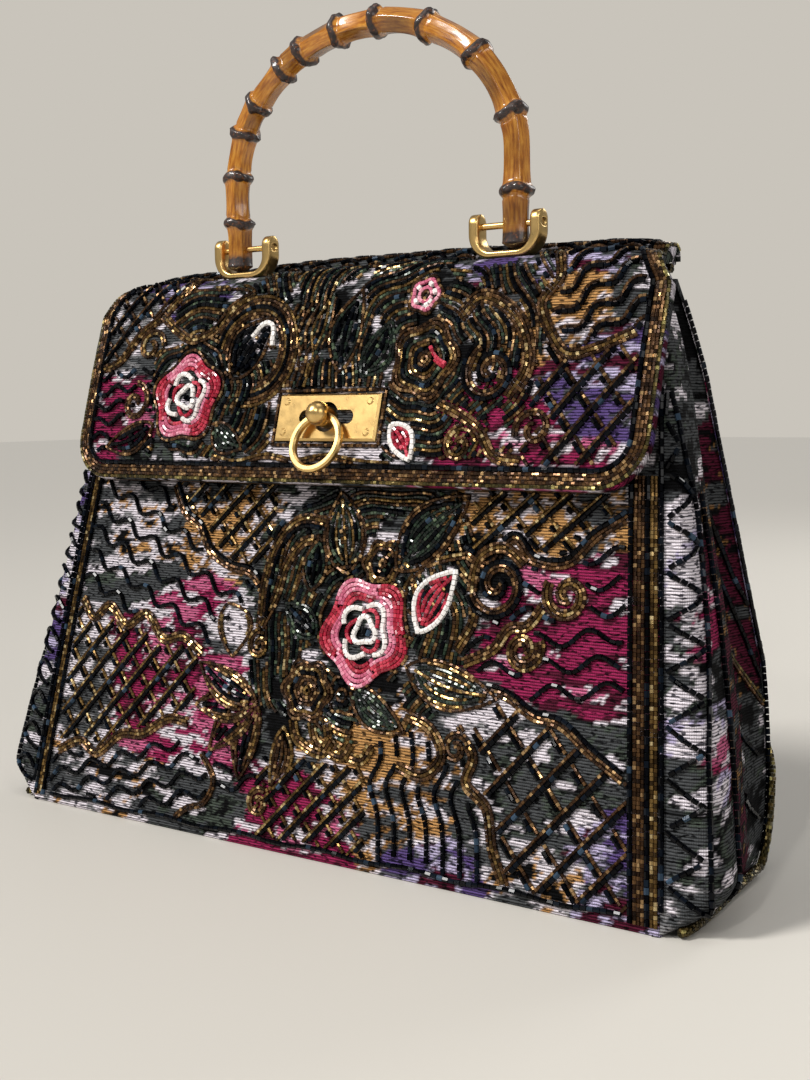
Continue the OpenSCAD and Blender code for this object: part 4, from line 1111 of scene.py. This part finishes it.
def back_art(p):
    s = np.linspace(8, BACK_LEN - 9, 100)
    for inset, kind in zip((2.0, 3.9, 5.4), "nbb"):
        edge = back_half(s) - inset
        p.line(stack(edge, s), kind)
        p.line(stack(-edge, s), kind)
    across = np.linspace(-146, 146, 80)
    p.line(stack(across, 0 * across + 10), "n")
    p.rose(-26, 132, 18, 0.2)
    p.leaf((-8, 146), (26, 170), 18, "bb", "ge", 2)
    p.leaf((-44, 120), (-76, 104), 17, "bb", "ge", 2)
    p.leaf((-8, 118), (24, 104), 14, "b", "e", -2)
    p.curl(44, 140, 12, 180, 1.4, "bg")
    p.curl(-68, 154, 12, 0, 1.4, "bg")
    p.scroll("bg", (-134, 98), (-110, 104), (-88, 96), (-60, 100), (-30, 94), (10, 98), (40, 104), (46, 122))
    p.scroll("bg", (30, 172), (50, 160), (70, 144), (100, 128), (138, 110))
    p.trellis([(40, 16), (46, 102), (134, 96), (146, 16)], 14, 48, "nb")
    p.trellis([(-126, 226), (-132, 162), (-84, 168), (-70, 226)], 11, 46, "nb")
    p.waves("n", (-160, 8), (2, 11), 9, 220, 6, 2.4, 22,
            (-146, 16), (-136, 94), (-20, 92), (36, 72), (36, 16))
    p.waves("n", (10, 120), (0, 11), 11, 140, 8, 2.4, 22, (20, 226), (64, 142), (136, 108), (124, 226))
    p.waves("n", (-90, 160), (0, 10), 8, 120, 4, 2.4, 20,
            (-68, 226), (-82, 170), (-40, 156), (20, 176), (18, 226))


# The cloth panels, each stretched over a stiff part of the bag
def seat(obj, body, slot, finish, *nodes):
    obj.data.materials.append(finish)
    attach(obj, body)
    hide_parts(*nodes)


def flat_area(width, along):
    """Area of a cut from its width at each place along it."""
    return float(np.sum((width[1:] + width[:-1]) / 2 * np.diff(along)))


def lay(name, face, shares, along, half, out, thick, colour):
    """A cloth panel from its rows, its half width at each and the shares of that across it."""
    a, b = shares[None, :] * half(along)[:, None], np.repeat(along[:, None], len(shares), 1)
    return skin(name, face, a, b, out, thick, colour)


def both_ways(n):
    return np.linspace(-1, 1, n)


rows = join(np.arange(0, BEADED_H, 1.2), np.linspace(BEADED_H, V_TOP, 26))
obj = lay("front_cloth", front_face, both_ways(230), rows, front_half, 1, WALL, cloth(FRONT_ZONES, 101))
seat(obj, "bag", "tapestry", tapestry,
     "front_panel", "left_front_border", "right_front_border", "front_beadwork")

corner_rows = FLAP_R * (1 - np.cos(np.linspace(0, np.pi / 2, 18)))
rows = join(corner_rows, np.arange(FLAP_R + 1.2, FLAP_LEN - 0.6, 1.2), [FLAP_LEN])
rim_deep = np.interp(rows, [SEAT_END_S, SEAT_END_S + 5, RIDGE_S, FLAP_LEN], [WALL, 5.6, 6.9, 3.0])
obj = lay("flap_cloth", flap_face, both_ways(210), rows, flap_half, 1, rim_deep, cloth(FLAP_ZONES, 202))
seat(obj, "flap", "tapestry", tapestry, "flap", "flap_border", "flap_beadwork")
flat_area(2 * flap_half(rows), rows)

rows = join(np.arange(0, 20, 1.0), np.linspace(20, BODY_H, 150))
one_way = np.linspace(0, 1, 76)
for side, face, out, colour in (("right", right_face, 1, cloth(RIGHT_ZONES, 303)),
                                ("left", left_face, -1, cloth(LEFT_ZONES, 404))):
    obj = lay(side + "_side_cloth", face, one_way, rows, side_wide, out, WALL, colour)
    seat(obj, "bag", "tapestry", tapestry, side + "_gusset")

rows = np.linspace(0, BACK_LEN, 150)
obj = lay("back_cloth", back_face, both_ways(170), rows, back_half, -1, WALL, cloth(BACK_ZONES, 505))
seat(obj, "bag", "tapestry", tapestry, "back_panel", "back_beadwork")
flat_area(2 * back_half(rows), rows)

rows = join(corner_rows, np.arange(FLAP_R + 1.6, INNER_LEN - 0.8, 1.6), [INNER_LEN])
obj = lay("flap_lining_cloth", inner_face, both_ways(120), rows, inner_half, -1, 0.9, plain)
seat(obj, "flap", "lining_cloth", lining_cloth, "flap_lining")
flat_area(2 * inner_half(rows), rows)

rows = np.linspace(-FRONT_FOOT + 0.6, BASE_BACK - 0.6, 40)
obj = lay("base_cloth", base_face, both_ways(140), rows, base_half, -1, 2.4, plain)
seat(obj, "bag", "base_cloth", base_cloth, "base_panel")


# The lining: a pocket inside the walls, with a turned hem at its mouth
def pocket_loop(z, off):
    across = both_ways(81)[:-1]
    share = np.linspace(0, 1, 41)
    side = side_point(share, np.full_like(share, z), off)
    front = stack(across * side[0, 0], 0 * across + front_y(z) + off, 0 * across + z)
    back = stack(-across * side[-1, 0], 0 * across + back_y(z) - off, 0 * across + z)
    return join(front, side[:-1], back, (side * MIRROR)[::-1][:-1])


def lining_mesh():
    top = BODY_H - LINING_DROP
    hem = ((top - 9, LINING_OFF - 0.9), (top - 0.5, LINING_OFF - 0.9), (top, LINING_OFF - 0.4))
    loops = [pocket_loop(z, off) for z, off in hem]
    for z in join(np.linspace(top - 0.4, 12, 90), np.linspace(11, 4.6, 6)):
        loop = pocket_loop(z, LINING_OFF)
        at = np.arange(len(loop))
        slack = sat((top - z) / 40) * sat((z - 4) / 12)
        pull = 1.6 * slack * rough(at / 9 + z / 60, z / 26 + 0 * at, 83)
        middle = np.array([0, (front_y(z) + back_y(z)) / 2, z])
        loops.append(loop + unit(middle - loop) * pull[:, None])
    foot = loops[-1]
    middle = foot.mean(0)
    for share in (0.92, 0.75, 0.55, 0.35, 0.15, 0.01):
        loops.append(middle + (foot - middle) * [share, share, 1] + [0, 0, 0.15 * math.sin(9 * share)])
    loops = np.array(loops)
    rows, cols = loops.shape[:2]
    drop = length_along(loops[:, 0]) / UV_MM
    uv = stack(np.tile(np.arange(cols) * 2.6 / UV_MM, rows), np.repeat(drop, cols))
    return tube("lining_cloth", loops, np.full((rows * cols, 3), 0.5), uv)


pocket = lining_mesh()
seat(pocket, "bag", "lining_cloth", lining_cloth, "lining")


# Beadwork, and where on each panel it may lie
def on_flap(x, s):
    off_plate = (np.abs(x) > PLATE_W / 2 + 0.6) | (np.abs(s - PLATE_UP) > PLATE_H / 2 + 0.6)
    in_edge = (np.abs(x) < flap_half(s) - 0.6) & (s < FLAP_LEN - 5)
    off_feet = (np.abs(np.abs(x) - SHACKLE_X) > SHACKLE_CLEAR) | (s < BEND_S + 8) | (s > RIDGE_S - 5)
    return off_plate & in_edge & off_feet


def on_side(a, z):
    return (z > 7) & (a > 0.4) & (a < side_wide(z) - 0.4)


def on_back(x, s):
    return (s > 8) & (s < BACK_LEN - 8) & (np.abs(x) < back_half(s) - 0.8)


for panel, art in (
    (Panel("front", "bag", front_face, 1), front_art),
    (Panel("flap", "flap", flap_face, 1, on_flap), flap_art),
    (Panel("right_side", "bag", right_face, 1, on_side), right_art),
    (Panel("left_side", "bag", left_face, -1, on_side), left_art),
    (Panel("back", "bag", back_face, -1, on_back), back_art),
):
    art(panel)
    panel.build()


# Piping: cords covered in wound rows of beads
def rope(name, path, radius, body, node):
    run = length_along(path)
    length, bead_r = SEED
    at = np.arange(length / 2, run[-1], length * ROPE_PITCH)
    spine = np.stack([np.interp(at, run, path[:, i]) for i in range(3)], -1)
    along = unit(np.gradient(spine, axis=0))
    side = unit(np.cross(along, (0.35, 0.81, 0.47)))
    other = np.cross(along, side)
    outs = []
    for k in range(SIDES):
        angle = math.radians(60 * k) + at * ROPE_TWIST
        outs.append(side * np.cos(angle)[:, None] + other * np.sin(angle)[:, None])
    centre = np.concatenate([spine + out * (radius - bead_r * 0.85) for out in outs])
    obj = bead_mesh(name, "olive", centre, np.concatenate([along] * SIDES), np.concatenate(outs), body)
    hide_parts(node)


CORD_GAP, CORD_Z = PIPING_R + 0.2, 2 * PIPING_R + 0.2
foot_t = np.linspace(1 / 12, 1, 90) ** 1.5
foot_lean = (bulge(foot_t, CORD_Z + 0.7 + 0 * foot_t) - bulge(foot_t, CORD_Z - 0.7 + 0 * foot_t)) / 1.4
foot_out = CORD_GAP / np.sqrt(1 + foot_lean ** 2)
foot = side_point(foot_t, CORD_Z + 0 * foot_t) + stack(foot_out, 0 * foot_t, -foot_out * foot_lean)
rise_z = np.linspace(CORD_Z, PIPING_TOP, 50)[1:]
rise_in = 2.4 * sat((rise_z - PIPING_TOP + 12) / 12) ** 2
rise = side_point(np.ones_like(rise_z), rise_z) + stack(CORD_GAP - rise_in, 0 * rise_z, 0 * rise_z)
piping = join(foot, rise)
hinge = np.linspace([-HINGE_HALF, HINGE_Y, HINGE_Z], [HINGE_HALF, HINGE_Y, HINGE_Z], 60)
rope("right_base_rope", piping, PIPING_R, "bag", "right_base_piping")
rope("left_base_rope", piping * MIRROR, PIPING_R, "bag", "left_base_piping")
rope("hinge_rope", hinge, HINGE_R, "bag", "hinge_piping")

# The handle: a bent cane with knuckles, root scars and flat sides
KNUCKLE_ANGLES = (158, 145, 128, 117, 101, 85, 64, 41, 14)
LEFT_KNUCKLES, RIGHT_KNUCKLE = (11.5, 31), 12.5     # heights above the pins, on the legs
FLATS, SCARS, CAP_SHARES = 5, 5, (0.02, 0.3, 0.6, 0.85)


def cane_handle():
    half = HANDLE_SPAN / 2
    turn = np.radians(np.linspace(180, 0, 361))
    arch = stack(half * np.cos(turn), LEG_H + ARCH_RISE * np.sin(turn))
    foot_z = -math.sqrt(CANE_END ** 2 - CANE_R ** 2)
    leg = np.linspace([-half, foot_z], [-half, LEG_H], 60)[:-1]
    path = join(leg, arch, (leg * [-1, 1])[::-1])
    run = length_along(path)
    arch_run = run[len(leg):len(leg) + len(arch)]
    knots = [up_leg - foot_z for up_leg in LEFT_KNUCKLES]
    knots += [float(np.interp(180 - a, np.linspace(0, 180, 361), arch_run)) for a in KNUCKLE_ANGLES]
    knots = np.array(sorted(knots + [float(run[-1]) - (RIGHT_KNUCKLE - foot_z)]))
    stations = np.linspace(0, run[-1], 640)
    theta = np.linspace(0, 2 * np.pi, 61)[:-1]
    s, th = np.meshgrid(stations, theta, indexing="ij")
    r = np.full(s.shape, CANE_R * 0.98)
    dark, facet_tone_and_shade = np.zeros(s.shape), np.ones(s.shape)
    ends = join([0], knots, [run[-1]])
    face = 2 * np.pi / FLATS
    for k, (a, b) in enumerate(zip(ends[:-1], ends[1:])):
        here = (s >= a) & (s <= b)
        within = np.sin(np.pi * sat((s - a) / (b - a))) ** 0.6 * here
        turned = th + 1.9 * k
        flat = 1 - math.cos(face / 2) / np.cos(turned % face - face / 2)
        r -= within * (0.2 + 0.85 * CANE_R * flat)
        # Each flat side is lighter or darker at random: partly the lacquer's own tone, partly painted light
        # and shade of lit and shaded facets
        step = lattice_value(np.floor(turned / face) % FLATS, 0 * th + k, 95)
        facet_tone_and_shade = np.where(here, 1 - within * (0.66 - 0.74 * step), facet_tone_and_shade)
    for k, at in enumerate(knots):
        ds = s - at - 0.8 * np.cos(th + 2.1 * k) - 0.5 * np.sin(3 * th + 1.3 * k)
        r += 0.95 * np.exp(-(ds / 1.9) ** 4) + 0.25 * np.exp(-(ds / 5) ** 2)
        r -= 0.35 * np.exp(-((ds - 2.9) / 0.6) ** 2)
        ragged = 1.9 + 0.8 * (rough(th * 2.4 + 7 * k, 0 * th + k, 97) - 0.5)
        dark = np.maximum(dark, 0.85 * np.exp(-(ds / ragged) ** 4))
        for j in range(SCARS):
            place_at = 2 * np.pi * (j + 0.4 * math.sin(3.1 * j + 1.9 * k)) / SCARS + 0.7 * k
            around = (th - place_at + np.pi) % (2 * np.pi) - np.pi
            size = 1.5 + 0.7 * math.sin(2.3 * j + 1.1 * k)
            spot = ((ds - 0.5 * math.sin(j + k)) / size) ** 2 + (around * CANE_R / size) ** 2
            r += 0.75 * np.exp(-spot ** 2) - 0.6 * np.exp(-spot * 5)
            dark = np.maximum(dark, np.exp(-(spot / 1.5) ** 3))
    r += 0.16 * (rough(s / 9, th * 2.2, 91) - 0.5)
    dark = np.maximum(dark, np.exp(-(np.minimum(s, run[-1] - s) / 4.2) ** 2))
    x, z = (np.interp(stations, run, path[:, i]) for i in (0, 1))
    centre = stack(x, 0 * stations, z)
    out = np.cross(unit(np.gradient(centre, axis=0)), (0, 1, 0))
    ring = np.cos(th)[..., None] * out[:, None] + np.sin(th)[..., None] * np.array([0, 1, 0])
    p = centre[:, None] + r[..., None] * ring
    tilt = math.asin(CANE_R / CANE_END)
    caps = []
    for end in (0, -1):
        spread = p[end] - centre[end]
        cap = []
        for share in CAP_SHARES:
            drop = CANE_END * (math.cos(share * tilt) - math.cos(tilt))
            cap.append(centre[end] + spread * math.sin(share * tilt) / math.sin(tilt) - [0, 0, drop])
        caps.append(np.array(cap))
    p = join(caps[0], p, caps[1][::-1]) + np.array([0, HANDLE_Y, PIN_Z])
    rows, cols = p.shape[:2]
    n = len(CAP_SHARES)
    v = join(np.linspace(-3, -0.5, n), stations, run[-1] + np.linspace(0.5, 3, n))
    uv = stack(np.tile(np.abs(theta - np.pi) * CANE_R, rows), np.repeat(v, cols)) / UV_MM
    knot, facet_tones_and_shade = (join(np.ones((n, cols)), c, np.ones((n, cols))).ravel() for c in (dark, facet_tone_and_shade))
    obj = tube("cane_handle", p, np.repeat(facet_tones_and_shade[:, None], 3, 1), uv)
    obj.data.attributes.new("knot", "FLOAT", "POINT").data.foreach_set("value", knot.astype(np.float32))
    return obj


seat(cane_handle(), "handle", "bamboo", cane, "handle")


# The shackles: round-edged bars bent to a U
def cup_line(wide, low, radius):
    """A U from the top of one leg to the top of the other, as (x, z)."""
    half = wide / 2
    turn = np.radians(np.linspace(180, 270, 40))[:, None]
    arc = np.array([-half + radius, low + radius]) + radius * np.concatenate([np.cos(turn), np.sin(turn)], 1)
    leg = np.linspace([-half, SHACKLE_TOP], [-half, low + radius], 50)[:-1]
    line = join(leg, arc, np.linspace([-half + radius, low], [0, low], 16)[1:])
    return join(line, (line * [-1, 1])[-2::-1])


def shackle(name, x, node):
    outer, inner = cup_line(SHACKLE_GAP + 2 * SHACKLE_LEG, 0, 10.0), cup_line(SHACKLE_GAP, SHACKLE_FOOT, 6.0)
    middle = (outer + inner) / 2
    over = np.clip((middle[:, 1] - SHACKLE_TOP + SHACKLE_D / 2) / (SHACKLE_D / 2), 0, 0.995)
    deep_half = SHACKLE_D / 2 * np.sqrt(1 - over ** 2)
    phi = np.linspace(0, 2 * np.pi, 49)[:-1]
    across, depth = (np.sign(f) * np.abs(f) ** 0.62 for f in (np.cos(phi), np.sin(phi)))
    narrow = 0.72 + 0.28 * np.sqrt(1 - over ** 4)
    flat = middle[:, None] + (outer - middle)[:, None] * (across[None, :, None] * narrow[:, None, None])
    y = deep_half[:, None] * depth[None, :]
    hole = np.hypot(y, flat[..., 1] - (PIN_Z - SEAT_Z))
    dimple = 1.3 * sat((1.9 - hole) / 0.7) * (across[None, :] > 0.3)
    dented = flat[..., 0] - np.sign(flat[..., 0]) * dimple
    points = stack(dented + x, y + HANDLE_Y, flat[..., 1] + SEAT_Z)
    count = points.shape[0] * points.shape[1]
    obj = tube(name, points, np.ones((count, 3)), np.zeros((count, 2)))
    seat(obj, "flap", "gold_metal", brass, node)


shackle("left_bow", -SHACKLE_X, "left_shackle")
shackle("right_bow", SHACKLE_X, "right_shackle")

# Finishes of the pieces kept from the frame
for finish, names in (
    (snap_steel, ("snap_socket", "snap_cap", "shackle_screws")),
    (brass, ("clasp_plate", "clasp_back_plate", "clasp_rivets", "clasp_knob", "clasp_ring")),
    (brass_dark, ("left_pin", "right_pin")),
):
    for name in names:
        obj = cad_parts[name]
        if not obj.material_slots:
            obj.data.materials.append(finish)
        for slot in obj.material_slots:
            slot.material = finish

# Floor, light and background
FLOOR, FLOOR_DROP = 6000.0, 0.4
corners = np.array([(-1, -1, 0), (1, -1, 0), (1, 1, 0), (-1, 1, 0)]) * FLOOR - [0, 0, FLOOR_DROP]
floor = mesh_object("floor", corners, np.array([[0, 1, 2, 3]]))
pale = Shader("pale_floor", Roughness=0.5, Specular_IOR_Level=0.3, Base_Color=lin(208, 204, 196))
floor.data.materials.append(pale.material)


def lamp(name, kind, at, to, power, colour, **settings):
    """A lamp at a place, turned to another, in metres."""
    data = bpy.data.lights.new(name, kind)
    data.energy = power
    data.color = colour
    for key, value in settings.items():
        setattr(data, key, value)
    z = unit(np.array(at, dtype=float) - np.array(to, dtype=float))
    x = unit(np.cross((0, 0, 1), z))
    place(bpy.data.objects.new(name, data), (x, np.cross(z, x), z), at)


MIDDLE = (0, 0, 0.15)
lamp("key", "SUN", (-0.65, -0.95, 1.15), MIDDLE, 3.1, (1.0, 0.98, 0.95), angle=math.radians(14))
lamp("fill", "AREA", (1.25, -0.5, 0.8), MIDDLE, 3.4, (1.0, 0.98, 0.96), size=0.5)
lamp("top", "AREA", (0.1, 0.1, 1.4), (0, 0, 0), 1.8, (1.0, 0.99, 0.97), size=0.5)
lamp("back", "AREA", (0.3, 1.3, 0.9), (0, 0, 0.12), 4.5, (1.0, 0.99, 0.97), size=0.5)
lamp("spark", "AREA", (0.3, -0.95, 0.8), MIDDLE, 2.4, (1.0, 0.98, 0.95), size=0.06)

world = bpy.data.worlds.new("studio")
scene.world = world
world.use_nodes = True
tree = world.node_tree
tree.nodes.clear()


def background(colour, strength):
    n = tree.nodes.new("ShaderNodeBackground")
    n.inputs[0].default_value = (*colour, 1)
    n.inputs[1].default_value = strength
    return n.outputs[0]


# A soft light all round, and a pale backdrop where the camera sees it
seen = tree.nodes.new("ShaderNodeMixShader")
path = tree.nodes.new("ShaderNodeLightPath").outputs["Is Camera Ray"]
for slot, value in zip(seen.inputs, (path, background(grey(0.9), 0.28), background(lin(201, 196, 187), 1.0))):
    tree.links.new(value, slot)
tree.links.new(seen.outputs[0], tree.nodes.new("ShaderNodeOutputWorld").inputs[0])
scene.view_settings.view_transform = "Standard"
